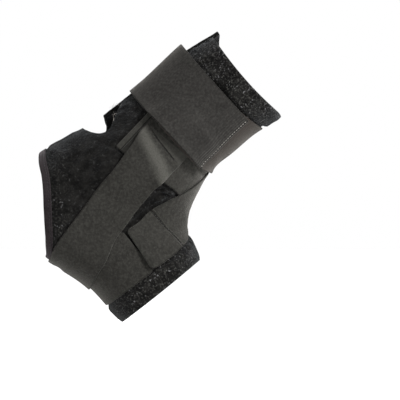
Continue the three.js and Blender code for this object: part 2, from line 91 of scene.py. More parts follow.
# Routes and outlines as (station, angle). Angles run from the front over the outer side to
# the back; past 180 or below 0 they are on the inner side.
HEEL_OPENING = [
    (9.00, 180), (9.00, 165), (8.80, 148), (8.30, 134), (7.48, 124), (6.87, 122),
    (6.25, 125), (5.69, 134), (5.31, 149), (5.11, 164), (5.04, 180),
]
BACK_OPENING = [
    (3.24, 179), (3.33, 160), (3.50, 147), (3.68, 138), (3.80, 134), (3.92, 134.5),
    (4.02, 139), (4.06, 148), (4.08, 160), (4.08, 180), (4.08, 200), (4.06, 212),
    (4.02, 221), (3.93, 225), (3.84, 223), (3.74, 212), (3.66, 198), (3.60, 186),
    (3.42, 181.5),
]
FIGURE_EIGHT_ROUTE = [
    (3.50, 117), (3.50, 96), (3.47, 70), (3.43, 42), (3.62, 20), (4.20, 0), (5.50, -16),
    (7.40, -34), (9.05, -60), (9.45, -79), (9.80, -107), (10.02, -143), (10.05, -180),
    (10.02, -217), (9.80, -253), (9.45, -281),
]
INSTEP_ROUTE = [
    (3.50, -117), (3.50, -96), (3.50, -70), (3.55, -42), (3.85, -20), (4.30, 0),
    (5.20, 16), (7.10, 34), (8.98, 60), (9.33, 74.5),
]
STIRRUP_ROUTE = [
    (2.45, 86), (2.90, 86), (3.30, 84), (4.00, 79.5), (5.50, 75), (7.60, 86), (8.94, 114),
    (9.50, 146), (9.60, 180),
]
TOP_ROUTE = [
    (2.05, 104), (2.05, 60), (1.82, 0), (1.92, -60), (2.02, -120), (2.02, -180),
    (2.04, -232), (2.04, -280), (2.02, -319),
]
# Folds of the free cloth: (rise, half width) in millimetres and the line they follow.
FOLDS = [
    (-1.5, 1.2, [(4.40, 62), (4.45, 56.5), (4.42, 47), (4.39, 30)]),
    (1.3, 1.3, [(4.63, 60), (4.63, 56.9), (4.58, 46.9), (4.55, 32)]),
    (-1.5, 1.2, [(4.84, 61), (4.82, 58.2), (4.73, 50.5), (4.67, 36)]),
    (1.2, 1.5, [(5.25, 62), (5.20, 56), (5.15, 44)]),
    (-0.8, 1.5, [(5.72, 62), (5.71, 56.3), (5.70, 51.5), (5.69, 44)]),
    (0.9, 2.2, [(4.45, 106), (5.14, 101.5), (5.88, 103), (6.45, 105.5), (7.10, 108)]),
    (-0.8, 1.6, [(4.60, 101), (5.14, 97.5), (5.88, 99), (6.45, 101), (7.20, 104)]),
    (-0.6, 2.2, [(4.73, 112), (5.25, 111), (6.00, 110.5), (6.60, 112)]),
    (0.6, 2.6, [(4.30, 128), (4.70, 122), (5.20, 118)]),
    (-0.5, 2.0, [(4.30, 120), (4.55, 117), (4.80, 116)]),
    (0.5, 2.4, [(10.3, 30), (10.5, 42), (10.55, 55)]),
    (-0.5, 2.0, [(10.45, 70), (10.6, 80), (10.6, 92)]),
    (0.6, 2.4, [(4.50, -106), (5.10, -102), (5.90, -103), (6.60, -106)]),
    (-0.7, 1.8, [(4.55, -58), (4.60, -48), (4.50, -34)]),
    (0.6, 2.0, [(4.95, -60), (5.00, -50), (4.90, -38)]),
]

# Billows of a strap: rise, half width and the line they follow, as distances along and aside.
BILLOWS = {
    "stirrup_strap": (2.3, 5.0, [(27, 17), (32, 10), (35.5, 3), (38.5, -5), (43, -12), (48, -15)]),
}
# Where a strap is drawn in: side, where it starts, is full, eases and ends, and its depth.
WAISTS = {
    "stirrup_strap": [(-1, 22, 56, 98, 124, 4.7)],
    "instep_strap": [(1, 100, 145, 200, 240, 2.2)],
}
# The seam below the stirrup's hems runs askew: distance from the end, and slant across it.
HEM_SEAM, HEM_SLANT = 25.0, 0.3
# The other seams, as distances from the end, and the reach and bow of the sewn tabs.
TOP_SEAM, EIGHT_SEAM, INSTEP_SEAM, TAB_SEAM, TAB_SHARE = 2.2, 5.5, 4.2, 24.4, 26.0
INSTEP_TAB_REACH, INSTEP_TAB_BOW, STIRRUP_TAB_REACH, STIRRUP_TAB_BOW = 30.6, 1.5, 22.0, 0.5
TAPE_LIFT = 0.12


def smooth(value, start, end):
    """0 before start, 1 after end, smooth between."""
    t = np.clip((value - start) / (end - start), 0, 1)
    return t * t * (3 - 2 * t)


def form_rows():
    """The sections in millimetres, with one more drawn on at each end."""
    rows = np.array(FORM, float)
    for column in (0, 2):
        rows[:, column] *= np.where(rows[:, column] < 0, HEEL_REACH, FOOT_REACH)
    for column in (1, 3):
        rows[:, column] *= np.where(rows[:, column] < 0, SOLE_DROP, LEG_RISE)
    return np.vstack([2 * rows[0] - rows[1], rows, 2 * rows[-1] - rows[-2]])


ROWS = form_rows()


def section(station):
    """Middle, half depth vector, half width, egg and squareness of any section."""
    station = np.asarray(station, float)
    index = np.clip(np.floor(station).astype(int), 0, LAST - 1)
    t = (station - index)[..., None]
    before, start, end, after = (ROWS[index + step] for step in range(4))
    cut = 0.5 * (2 * start + (end - before) * t
                 + (2 * before - 5 * start + 4 * end - after) * t ** 2
                 + (3 * start - before - 3 * end + after) * t ** 3)
    x0, z0, x1, z1, half, egg, square = np.moveaxis(cut, -1, 0)
    return (x0 + x1) / 2, (z0 + z1) / 2, (x1 - x0) / 2, (z1 - z0) / 2, half, egg, square


def from_front(angle):
    """How many degrees an angle is from the front, on either side."""
    turn = np.abs(angle) % 360
    return np.minimum(turn, 360 - turn)


def half_width(half, egg, station, angle):
    """Half the form's width at an angle, with the ankle's bump."""
    off = ((station - BUMP_STATION) / BUMP_STATIONS) ** 2
    off = off + ((from_front(angle) - BUMP_ANGLE) / BUMP_ANGLES) ** 2
    return half * (1 + egg * np.cos(np.radians(angle))) + ANKLE_BUMP * np.exp(-off)


def form_point(station, angle):
    """Places on the form, in millimetres."""
    station, angle = np.broadcast_arrays(np.asarray(station, float), np.asarray(angle, float))
    x, z, depth_x, depth_z, half, egg, square = section(station)
    cos, sin = np.cos(np.radians(angle)), np.sin(np.radians(angle))
    reach = (np.abs(cos) ** square + np.abs(sin) ** square) ** (-1 / square)
    wide = half_width(half, egg, station, angle)
    return np.stack([x + depth_x * reach * cos, -wide * reach * sin, z + depth_z * reach * cos], -1)


def unit(vectors):
    return vectors / np.maximum(np.linalg.norm(vectors, axis=-1, keepdims=True), 1e-9)


def form_normal(station, angle):
    """Directions straight off the form."""
    along = form_point(station + 0.03, angle) - form_point(station - 0.03, angle)
    around = form_point(station, angle + 0.8) - form_point(station, angle - 0.8)
    return unit(np.cross(around, along))


SCANS = 20
SCAN = section(np.linspace(0, LAST, LAST * SCANS + 1))


def locate(points):
    """The station and angle on the form nearest to points close to it."""
    flat = points.reshape(-1, 3)
    x, z, depth_x, depth_z = SCAN[:4]
    side = (flat[:, :1] - x) * depth_z - (flat[:, 2:] - z) * depth_x
    flips = side[:, :-1] * side[:, 1:] <= 0
    index = np.where(flips.any(1), flips.argmax(1), side.shape[1] - 2)
    here = np.arange(len(flat))
    near, far = side[here, index], side[here, index + 1]
    station = (index + near / (near - far)) / SCANS
    x, z, depth_x, depth_z, half, egg, _ = section(station)
    along = ((flat[:, 0] - x) * depth_x + (flat[:, 2] - z) * depth_z) / (depth_x ** 2 + depth_z ** 2)
    angle = np.degrees(np.arctan2(-flat[:, 1] / half, along))
    for _ in range(5):
        angle = np.degrees(np.arctan2(-flat[:, 1] / half_width(half, egg, station, angle), along))
    return station.reshape(points.shape[:-1]), angle.reshape(points.shape[:-1])


def on_form(points):
    """Points moved onto the form, with their normals, stations and angles."""
    station, angle = locate(points)
    return form_point(station, angle), form_normal(station, angle), station, angle


def even_curve(marks, closed, step):
    """Evenly spaced points on a smooth curve through marks."""
    if closed:
        marks = np.vstack([marks[-1], marks, marks[:2]])
    else:
        marks = np.vstack([2 * marks[0] - marks[1], marks, 2 * marks[-1] - marks[-2]])
    t = np.linspace(0, 1, 24, endpoint=False)[:, None]
    fine = []
    for four in zip(marks, marks[1:], marks[2:], marks[3:]):
        p0, p1, p2, p3 = four
        d0, d1, d2 = (max(np.linalg.norm(b - a), 1e-6) ** 0.5 for a, b in zip(four, four[1:]))
        first = ((p1 - p0) / d0 - (p2 - p0) / (d0 + d1) + (p2 - p1) / d1) * d1
        last = ((p2 - p1) / d1 - (p3 - p1) / (d1 + d2) + (p3 - p2) / d2) * d1
        fine.append(p1 + first * t + (3 * (p2 - p1) - 2 * first - last) * t ** 2
                    + (2 * (p1 - p2) + first + last) * t ** 3)
    fine = np.vstack([*fine, marks[-2][None]])
    reach = np.concatenate([[0], np.cumsum(np.linalg.norm(np.diff(fine, axis=0), axis=1))])
    count = max(round(reach[-1] / step), 2)
    wanted = np.linspace(0, reach[-1], count + 1)
    line = np.stack([np.interp(wanted, reach, fine[:, axis]) for axis in range(3)], -1)
    return line[:-1] if closed else line


def lay_line(route, step, closed=False):
    """Evenly spaced points on the form along a route of stations and angles."""
    stations, angles = np.array(route, float).T
    line = even_curve(form_point(stations, angles), closed, ROUTE_STEP)
    for _ in range(3):
        line = even_curve(on_form(line)[0], closed, ROUTE_STEP)
    return on_form(even_curve(line, closed, step))


def walk(points, normals, heading, step, count):
    """Places reached from points by walking over the form, one a step."""
    places, direction = [points], heading
    for _ in range(count):
        moved, normals = on_form(places[-1] + direction * step)[:2]
        direction = moved - places[-1]
        direction = unit(direction - normals * (direction * normals).sum(-1, keepdims=True))
        places.append(moved)
    return places


def grid_value(field, row, column, around=False):
    """A field between the points of its grid; the last column meets the first where it runs around."""
    row, column = np.broadcast_arrays(row, column)
    columns = field.shape[1]
    above, left = np.floor(row).astype(int), np.floor(column).astype(int)
    above = np.clip(above, 0, field.shape[0] - 2)
    if not around:
        left = np.clip(left, 0, columns - 2)
    down, right = row - above, column - left
    if field.ndim == 3:
        down, right = down[..., None], right[..., None]
    left, after = left % columns, (left + 1) % columns
    upper, lower = (field[level, left] * (1 - right) + field[level, after] * right
                    for level in (above, above + 1))
    return upper * (1 - down) + lower * down


def grid_faces(rows, columns, around):
    """Corner numbers of a grid's quads; its columns, and its rows too, may run around."""
    grid = np.arange(rows * columns).reshape(rows, columns)
    for axis, closed in enumerate(around):
        if closed:
            grid = np.concatenate([grid, grid.take([0], axis)], axis)
    return np.stack([grid[:-1, :-1], grid[:-1, 1:], grid[1:, 1:], grid[1:, :-1]], -1).reshape(-1, 4)


def drawn_on(line, normals, tangent, length, at_start):
    """A line carried on over the form past one of its ends."""
    end = 0 if at_start else -1
    heading = -tangent[end] if at_start else tangent[end]
    count = max(round(length / Band.STEP), 1)
    more = np.stack(walk(line[end][None], normals[end][None], heading[None], length / count, count)[1:])[:, 0]
    line = np.vstack([more[::-1], line] if at_start else [line, more])
    return line, on_form(line)[1], unit(np.gradient(line, axis=0))


class Band:
    """The ground a strap covers: rows of places along it, from one edge to the other."""

    STEP = 1.5
    HALF_COUNT = 20

    def __init__(self, places, width):
        self.width = width
        self.places, self.normals, self.station, self.angle = on_form(places)
        middle = self.places[:, self.places.shape[1] // 2]
        self.reach = np.concatenate([[0], np.cumsum(np.linalg.norm(np.diff(middle, axis=0), axis=1))])
        self.length = self.reach[-1]

    @classmethod
    def on_route(cls, route, width, over_start=0.0, over_end=0.0):
        """The band along a route, carried on past its ends."""
        line, normals, _, _ = lay_line(route, cls.STEP)
        tangent = unit(np.gradient(line, axis=0))
        for length, at_start in ((over_start, True), (over_end, False)):
            if length:
                line, normals, tangent = drawn_on(line, normals, tangent, length, at_start)
        side = unit(np.cross(tangent, normals))
        step = width / 2 / cls.HALF_COUNT
        right, left = (walk(line, normals, way, step, cls.HALF_COUNT) for way in (side, -side))
        return cls(np.stack([*left[:0:-1], *right], 1), width)

    def cut(self, start, end):
        """The part of the band between two lengths along it."""
        keep = (self.reach >= start - 0.8) & (self.reach <= end + 0.8)
        return Band(self.places[keep], self.width)

    def sample(self, field, along, aside):
        """A field of the band's grid at lengths along it and distances aside from its middle."""
        row = np.interp(along, self.reach, np.arange(len(self.reach)))
        return grid_value(field, row, (aside / self.width + 0.5) * (field.shape[1] - 1))


def taut(needed, passes):
    """Draws a strap taut over the heights that it needs, with no hollow left."""
    heights = needed
    for _ in range(passes):
        padded = np.pad(heights, 1, mode="edge")
        mean = (padded[:-2, 1:-1] + padded[2:, 1:-1] + padded[1:-1, :-2] + padded[1:-1, 2:]) / 4
        heights = np.maximum(needed, mean)
    return heights


class Cover:
    """How high what is laid so far stands over the form, by station and angle."""

    PER_STATION = 24

    def __init__(self, ground):
        self.stations, self.angles = np.meshgrid(
            np.arange(LAST * self.PER_STATION + 1) / self.PER_STATION, np.arange(360.0), indexing="ij")
        self.top = np.full(self.stations.shape, ground)
        self.press = np.zeros(self.stations.shape)

    def at(self, field, station, angle):
        """A field's value at any station and angle."""
        row = np.clip(station * self.PER_STATION, 0, field.shape[0] - 1.001)
        return grid_value(field, row, np.mod(angle, 360), around=True)

    def spread(self, cells):
        """The top, with each height carried some cells outwards."""
        top = self.top
        for _ in range(cells):
            padded = np.pad(top, ((1, 1), (0, 0)), mode="edge")
            top = np.maximum.reduce([padded[:-2], padded[1:-1], padded[2:]])
            top = np.maximum.reduce([top, np.roll(top, 1, 1), np.roll(top, -1, 1)])
        return top

    def paint(self, band, values, field):
        """Raises a field to the values that a band has on its grid."""
        fine = 4
        along = np.linspace(0, band.length, (len(band.reach) - 1) * fine + 1)[:, None]
        aside = np.linspace(-0.5, 0.5, (band.station.shape[1] - 1) * fine + 1)[None] * band.width
        even = np.unwrap(np.unwrap(band.angle, period=360, axis=0), period=360, axis=1)
        station = band.sample(band.station, along, aside)
        angle = band.sample(even, along, aside)
        row = np.clip(np.rint(station * self.PER_STATION).astype(int), 0, field.shape[0] - 1)
        column = np.rint(angle).astype(int) % 360
        np.maximum.at(field, (row, column), band.sample(values, along, aside))


def point_in_loop(station, angle, loop_station, loop_angle):
    """Whether places lie inside a loop of stations and angles."""
    inside = np.zeros(station.shape, bool)
    ends = zip(loop_station, loop_angle, np.roll(loop_station, -1), np.roll(loop_angle, -1))
    for s0, a0, s1, a1 in ends:
        if a0 == a1:
            continue
        crosses = (a0 > angle) != (a1 > angle)
        inside ^= crosses & (station < (s1 - s0) * (angle - a0) / (a1 - a0) + s0)
    return inside


def distance_to_line(points, line, closed=False):
    """Distance of points to a line of points."""
    starts, ends = (line, np.roll(line, -1, 0)) if closed else (line[:-1], line[1:])
    flat = points.reshape(-1, points.shape[-1])
    least = np.full(len(flat), 1e9)
    for start, end in zip(starts, ends):
        span = end - start
        share = np.clip(((flat - start) @ span) / max(span @ span, 1e-9), 0, 1)
        gap = flat - start - share[:, None] * span
        least = np.minimum(least, np.einsum("ij,ij->i", gap, gap))
    return np.sqrt(least).reshape(points.shape[:-1])


class Openings:
    """The heel opening, the opening above it and the slit, with how far places are from them."""

    NO_SLIT = 50.0

    def __init__(self):
        other = [(station, 360 - angle) for station, angle in HEEL_OPENING[-2:0:-1]]
        self.heel = lay_line(HEEL_OPENING + other, EDGE_STEP, closed=True)
        self.back = lay_line(BACK_OPENING, EDGE_STEP, closed=True)

    def off(self, loop, points, station, angle):
        """Distance to one opening's edge: above 0 on the cloth, below 0 in the opening."""
        line, _, loop_station, loop_angle = loop
        gap = distance_to_line(points, line, closed=True)
        inside = point_in_loop(station, np.mod(angle, 360), loop_station, np.mod(loop_angle, 360))
        return np.where(inside, -gap, gap)

    def cloth(self, points, station, angle):
        """Distance to the nearest of all three: above 0 on the cloth."""
        behind = (from_front(angle) > 120) & (station < SLIT_END)
        slit = np.where(behind, np.abs(points[..., 1]) - SLIT / 2, self.NO_SLIT)
        return np.minimum.reduce([self.off(self.heel, points, station, angle),
                                  self.off(self.back, points, station, angle), slit])

    def from_heel(self, step, count):
        """Places reached from the heel opening's edge by walking onto the cloth, and the way there."""
        line, normals, _, _ = self.heel
        away = unit(np.cross(np.roll(line, -1, 0) - np.roll(line, 1, 0), normals))
        return walk(line, normals, away, step, count), away


def in_flap(angle):
    """How far into the flap beside the slit an angle is, from 0 to 1."""
    return smooth(angle, 178.5, 181.5) * (1 - smooth(angle, 186, 222))


def flap_proud(station):
    """How far the flap stands out."""
    return FLAP_PROUD * (1 - smooth(station, 2.6, SLIT_END))


def turned(points):
    """Pitches points of the level form into the frame, in metres."""
    angle = math.radians(HEEL_RAISE)
    x, y, z = np.moveaxis(np.asarray(points, float), -1, 0)
    return np.stack([x * math.cos(angle) + z * math.sin(angle), y,
                     z * math.cos(angle) - x * math.sin(angle)], -1) * MM


class Layout:
    """Where every strap lies, worked out once, from the lowest layer to the highest."""

    TAB_OVERHANG = 2.5
    INSTEP_TAB_LENGTH, STIRRUP_TAB_LENGTH = 28.5, 23.0
    SELF_START, SELF_OVER = 0.3, 0.55

    def __init__(self, sizes):
        self.gap = sizes.layer_gap / MM
        self.sink = sizes.strap_sink / MM
        self.webbing = sizes.webbing / MM
        self.tab = sizes.tab / MM
        self.openings = Openings()
        self.cover = Cover(self.gap - self.sink)
        points = form_point(self.cover.stations, self.cover.angles)
        edge = self.openings.off(self.openings.heel, points, self.cover.stations, self.cover.angles)
        taped = (edge > -1.5) & (edge < BINDING_WIDTH + 0.6)
        self.cover.top[taped] = sizes.tape / MM + 0.15 + self.gap
        self.straps, self.tabs = {}, {}
        over = self.TAB_OVERHANG
        back_half = [(station, 360 - angle) for station, angle in STIRRUP_ROUTE[-2::-1]]
        self.lay("figure_eight_strap", Band.on_route(FIGURE_EIGHT_ROUTE, STRAP_WIDTH))
        self.lay("instep_strap", Band.on_route(INSTEP_ROUTE, STRAP_WIDTH))
        instep = Band.on_route(INSTEP_ROUTE, STRAP_WIDTH, 0, over)
        self.lay_tab("instep_tab", instep, self.INSTEP_TAB_LENGTH + over, at_start=False)
        self.lay("stirrup_strap", Band.on_route(STIRRUP_ROUTE + back_half, STRAP_WIDTH))
        stirrup = Band.on_route(STIRRUP_ROUTE + back_half, STRAP_WIDTH, over, over)
        for name, at_start in (("stirrup_tab_outer", True), ("stirrup_tab_inner", False)):
            self.lay_tab(name, stirrup, self.STIRRUP_TAB_LENGTH + over, at_start)
        self.lay_top(Band.on_route(TOP_ROUTE, TOP_STRAP_WIDTH))

    def needed(self, band):
        """The heights a band needs to clear what lies below it."""
        return self.cover.at(self.cover.spread(2), band.station, band.angle)

    def settle(self, name, band, heights):
        """Keeps a strap's heights, and covers and presses what lies below it."""
        self.straps[name] = (band, heights)
        self.cover.paint(band, 1 - smooth(heights, 0.4, 2.2), self.cover.press)
        self.cover.paint(band, heights + self.webbing + self.gap, self.cover.top)

    def lay(self, name, band):
        heights = taut(self.needed(band), TAUT_PASSES)
        self.settle(name, band, heights + self.billow(name, band))

    @staticmethod
    def billow(name, band):
        """The soft billow of a strap that is pulled askew."""
        if name not in BILLOWS:
            return 0
        high, half, line = BILLOWS[name]
        line = np.array(line, float)
        aside = np.linspace(-0.5, 0.5, band.station.shape[1]) * band.width
        from_end = np.minimum(band.reach, band.length - band.reach)
        flat = np.stack(np.meshgrid(from_end, aside, indexing="ij"), -1)
        return high * np.exp(-(distance_to_line(flat, line) / half) ** 2)

    def lay_tab(self, name, band, length, at_start):
        """A tab on the end of the strap that was laid last."""
        band = band.cut(0, length) if at_start else band.cut(band.length - length, band.length)
        heights = taut(self.needed(band), TAB_PASSES)
        self.tabs[name] = (band, heights, at_start)
        self.cover.paint(band, heights + self.tab + self.gap, self.cover.top)

    def lay_top(self, band):
        """The top strap, slack behind and with its end over its own start."""
        side = from_front(band.angle)
        across = np.linspace(0, 1, band.station.shape[1])[None]
        slack = TOP_STRAP_SLACK * smooth(side, 95, 165) * (1 - SLACK_FALL * across)
        flap = OVER_FLAP * flap_proud(band.station) * (1 - smooth(180 - side, 12, 55))
        base = self.gap + np.maximum(slack, flap)
        along = (band.reach / band.length)[:, None]
        needed = np.maximum(base, self.needed(band))
        first = band.cut(0, self.SELF_START * band.length)
        rows = len(first.reach)
        start_heights = taut(needed, TAUT_PASSES)[:rows]
        self.cover.paint(first, start_heights + self.webbing + self.gap, self.cover.top)
        over = np.maximum(base, self.needed(band))
        heights = taut(np.where(along > self.SELF_OVER, over, needed), TAUT_PASSES)
        lifted = LOWER_EDGE_LIFT * smooth(across, 0.86, 1.0) * smooth(along, 0.72, 0.80)
        self.settle("top_strap", band, heights + lifted)

    def strap_edges(self):
        """The edges of the straps where they press on the sleeve."""
        edges = []
        for band, heights in self.straps.values():
            for border in (np.s_[:, 0], np.s_[:, -1], np.s_[0], np.s_[-1]):
                edges.append(band.places[border][heights[border] < 1.0])
        return np.vstack(edges)


_made = {}


def layout():
    """The straps' layout, made at its first use."""
    if "layout" not in _made:
        _made["layout"] = Layout(bpy.context.scene.brace_sizes)
    return _made["layout"]


# Materials, with their maths written as expressions on sockets.

def add_node(tree, kind, settings, values):
    """A new node: its settings first, then its sockets' values or links, by name or _number."""
    made = tree.nodes.new(kind)
    for name, value in (settings or {}).items():
        setattr(made, name, value)
    for name, value in values.items():
        socket = made.inputs[int(name[1:])] if name[0] == "_" else made.inputs[name.replace("_", " ")]
        value = getattr(value, "socket", value)
        if isinstance(value, bpy.types.NodeSocket):
            tree.links.new(value, socket)
        else:
            socket.default_value = value
    return made


class Wire:
    """A socket of a shader tree that can be added to and multiplied."""

    def __init__(self, finish, socket):
        self.finish, self.socket = finish, socket

    def __add__(self, other):
        return self.finish.maths("ADD", self, other)

    def __sub__(self, other):
        return self.finish.maths("SUBTRACT", self, other)

    def __rsub__(self, other):
        return self.finish.maths("SUBTRACT", other, self)

    def __mul__(self, other):
        return self.finish.maths("MULTIPLY", self, other)

    def __abs__(self):
        return self.finish.maths("ABSOLUTE", self)


class Finish:
    """One material, built node by node."""

    def __init__(self, name):
        self.material = bpy.data.materials.new(name)
        self.material.use_nodes = True
        self.tree = self.material.node_tree
        self.tree.nodes.clear()
        self.place = self.node("TexCoord", output=3)

    def node(self, kind, settings=None, output=0, **values):
        made = add_node(self.tree, "ShaderNode" + kind, settings, values)
        return Wire(self, made.outputs[output]) if len(made.outputs) else None

    def maths(self, operation, *values):
        return self.node("Math", {"operation": operation},
                         **{f"_{index}": value for index, value in enumerate(values)})

    def blend(self, factor, first, second):
        first, second = (value if isinstance(value, Wire) else (*value, 1) for value in (first, second))
        return self.node("Mix", {"data_type": "RGBA"}, output=2, _0=factor, _6=first, _7=second)

    def between(self, value, low, high):
        """0 below low, 1 above high, smooth between."""
        return self.node("MapRange", {"interpolation_type": "SMOOTHSTEP"}, _0=value, _1=low, _2=high)

    def below(self, value, low, high):
        """1 below low, 0 above high, smooth between."""
        return 1 - self.between(value, low, high)

    def wave(self, distance, pitch):
        return self.maths("SINE", distance * (math.tau / pitch))

    def noise(self, scale, detail=2.0, rough=0.5):
        return self.node("TexNoise", Vector=self.place, Scale=scale, Detail=detail, Roughness=rough)

    def mottled(self, noise, low, high, colour, dark, light):
        """A colour that a noise takes from darker to lighter."""
        return self.blend(self.between(noise, low, high), shade(colour, dark), shade(colour, light))

    def layered(self, tone, colour, layers):
        """A tone moved, layer by layer, towards darker or brighter shades of a colour."""
        for factor, brightness in layers:
            tone = self.blend(factor, tone, shade(colour, brightness))
        return tone

    def along_and_aside(self):
        split = self.node("SeparateXYZ", Vector=self.node("UVMap", {"uv_map": "UVMap"}))
        return split, Wire(self, split.socket.node.outputs[1])

    def close(self, colour, height, roughness, depth, sheen=0.0, tint=(1, 1, 1), strength=1.0,
              specular=0.25, index=1.25):
        """Ends the material in a cloth surface with relief."""
        bump = self.node("Bump", Strength=strength, Distance=depth, Height=height)
        self.node("OutputMaterial", Surface=self.node(
            "BsdfPrincipled", Base_Color=colour, Roughness=roughness, Normal=bump, IOR=index,
            Sheen_Weight=sheen, Sheen_Roughness=0.45, Sheen_Tint=(*tint, 1), Specular_IOR_Level=specular))
        return self.material


def shade(colour, factor):
    """A colour times one factor, or times one for each channel."""
    return tuple(np.multiply(colour, factor))


def pile_finish(name, colour):
    """Brushed loop cloth: a dark ground with lighter tufts, more of them near both ends."""
    finish = Finish(name)
    far = finish.node("VectorMath", {"operation": "LENGTH"}, output=1, _0=finish.place)
    brushed = finish.between(far, 0.050, 0.085) * 0.82 + 0.18
    tufts = finish.noise(640, 3, 0.65)
    fibres = finish.noise(2200, 2, 0.6)
    sparks = finish.between(finish.noise(480, 1), 0.64, 0.74) * finish.between(fibres, 0.45, 0.6)
    tone = finish.mottled(finish.noise(120, 3, 0.6), 0.35, 0.68, colour, 0.55, 1.45)
    tone = finish.layered(tone, colour, [(finish.between(tufts, 0.50, 0.66) * brushed, 5.0)])
    tone = finish.blend(sparks * brushed * 0.85, tone, (0.108, 0.107, 0.11))
    return finish.close(tone, tufts * 0.7 + fibres * 0.3, roughness=0.96, depth=0.0013, sheen=0.05,
                        tint=(0.85, 0.9, 0.95), specular=0.04, index=1.1)


def lining_finish(name, colour):
    """The smooth knit inside the sleeve."""
    finish = Finish(name)
    tone = finish.mottled(finish.noise(60, 2), 0.3, 0.7, colour, 0.7, 1.1)
    return finish.close(tone, finish.noise(1800, 2), roughness=0.92, depth=0.0003, sheen=0.05,
                        tint=(0.8, 0.8, 0.85), strength=0.6, specular=0.08)


def webbing_finish(name, colour, seam, slant=0.0, seam_half=1.0, hem_light=0.3, dark_reach=0.0,
                   rib=0.0, rib_reach=0.0, raised=0.0, half=0.019):
    """Brushed elastic webbing with a seam near its end, and cords across it where it is ribbed."""
    finish = Finish(name)
    between, below = finish.between, finish.below
    along, aside = finish.along_and_aside()
    weave = finish.wave(along, 0.0011) * finish.wave(aside, 0.0009) * 0.5 + 0.5
    fluff = finish.noise(1050, 3, 0.7)
    grain = finish.noise(560, 2, 0.6)
    from_hem = along + aside * slant
    groove = below(abs(from_hem - seam), 0.0002, 0.0009)
    groove = groove * below(abs(aside + 0.001), seam_half - 0.002, seam_half)
    tone = finish.mottled(finish.noise(330, 3, 0.65), 0.32, 0.68, colour, 0.78, 1.22)
    tone = finish.layered(tone, colour, [
        (between(finish.noise(42, 2), 0.3, 0.7) * 0.6, 1.3),
        (between(fluff, 0.54, 0.72) * 0.55, 2.3),
        (between(grain, 0.50, 0.66) * 0.40, 2.2),
        (below(grain, 0.34, 0.48) * 0.35, 0.35),
        ((1 - weave) * 0.18, 0.4),
        (below(from_hem, seam - 0.0011, seam - 0.0005) * hem_light, 1.9),
        # The seam's groove is darkened with painted shade.
        (groove * 0.7, 0.25)])
    # A darker band past the seam: partly the pile's own darker tone, partly painted shadow of the strap that
    # crosses over it.
    if dark_reach:
        low = between(from_hem, seam, seam + 0.0006)
        low = low * below(from_hem, seam + dark_reach * 0.7, seam + dark_reach)
        tone = finish.layered(tone, colour, [(low * 0.6, 0.35)])
    if raised:
        # A painted highlight lightens the billow below the strap's end, broken up by the fluff noise.
        aslant = abs((aside - 0.015 + (along - 0.027) * 1.8) * 0.486)
        highlight_patch = below(aslant, 0.001, 0.0085) * between(from_hem, seam, seam + 0.006)
        highlight_patch = highlight_patch * below(along, 0.044, 0.058)
        highlight_fluff = between(fluff, 0.30, 0.64) * 0.45 + 0.5
        tone = finish.layered(tone, colour, [(highlight_patch * highlight_fluff * raised, 3.5)])
    # Painted shade darkens the strap's long edges.
    edge_shade = between(abs(aside), half - 0.0009, half - 0.0004)
    tone = finish.layered(tone, colour, [(edge_shade * 0.65, 0.3)])
    height = weave * 0.3 + fluff * 0.5 + grain * 0.5 - groove * 1.2
    if rib:
        cords = finish.wave(along, rib) * 0.5 + 0.5
        near = below(along, rib_reach * 0.2, rib_reach)
        tone = finish.layered(tone, colour, [((1 - cords) * (near * 0.22 + 0.05), 0.4),
                                             (between(along, 0.205, 0.225) * 0.55, (1.5, 1.25, 1.15))])
        height = height * 0.7 + cords * (near * 0.8 + 0.2) * 0.45
    return finish.close(tone, height, roughness=0.9, depth=0.00045, sheen=0.09, tint=(1.0, 0.96, 0.9),
                        strength=0.8, specular=0.06, index=1.15)


def tape_finish(name, colour):
    """Stretch binding tape with a fine cross rib."""
    finish = Finish(name)
    along, _ = finish.along_and_aside()
    rib = finish.wave(along, 0.0011) * 0.5 + 0.5
    fluff = finish.noise(1700, 2)
    tone = finish.mottled(finish.noise(120, 2), 0.35, 0.65, colour, 0.8, 1.25)
    tone = finish.layered(tone, colour, [((1 - rib) * 0.25, 0.5),
                                         (finish.between(fluff, 0.58, 0.75) * 0.4, 2.2)])
    return finish.close(tone, rib * 0.6 + fluff * 0.4, roughness=0.85, depth=0.0003, sheen=0.08,
                        tint=(0.95, 0.88, 0.92), strength=0.7, specular=0.1)


def thread_finish(name, colour):
    """Twisted sewing thread."""
    finish = Finish(name)
    twist = finish.noise(3200, 2)
    tone = finish.mottled(twist, 0.35, 0.7, colour, 0.65, 1.2)
    return finish.close(tone, twist, roughness=0.7, depth=0.0001, sheen=0.2, strength=0.5, specular=0.3)


def floor_finish(name, colour):
    """The pale, faintly cloudy floor."""
    finish = Finish(name)
    cloudy = finish.noise(3, 2)
    tone = finish.blend(cloudy, shade(colour, 0.985), colour)
    return finish.close(tone, cloudy, roughness=0.85, depth=0.0002, strength=0.1, specular=0.2)


def material(name, make, colour, **options):
    """The material of a name, made at its first use."""
    return bpy.data.materials.get(name) or make(name, tuple(colour), **options)


# Meshes.

def linked(name, data):
    """A new object in the scene."""
    made = bpy.data.objects.new(name, data)
    bpy.context.scene.collection.objects.link(made)
    return made


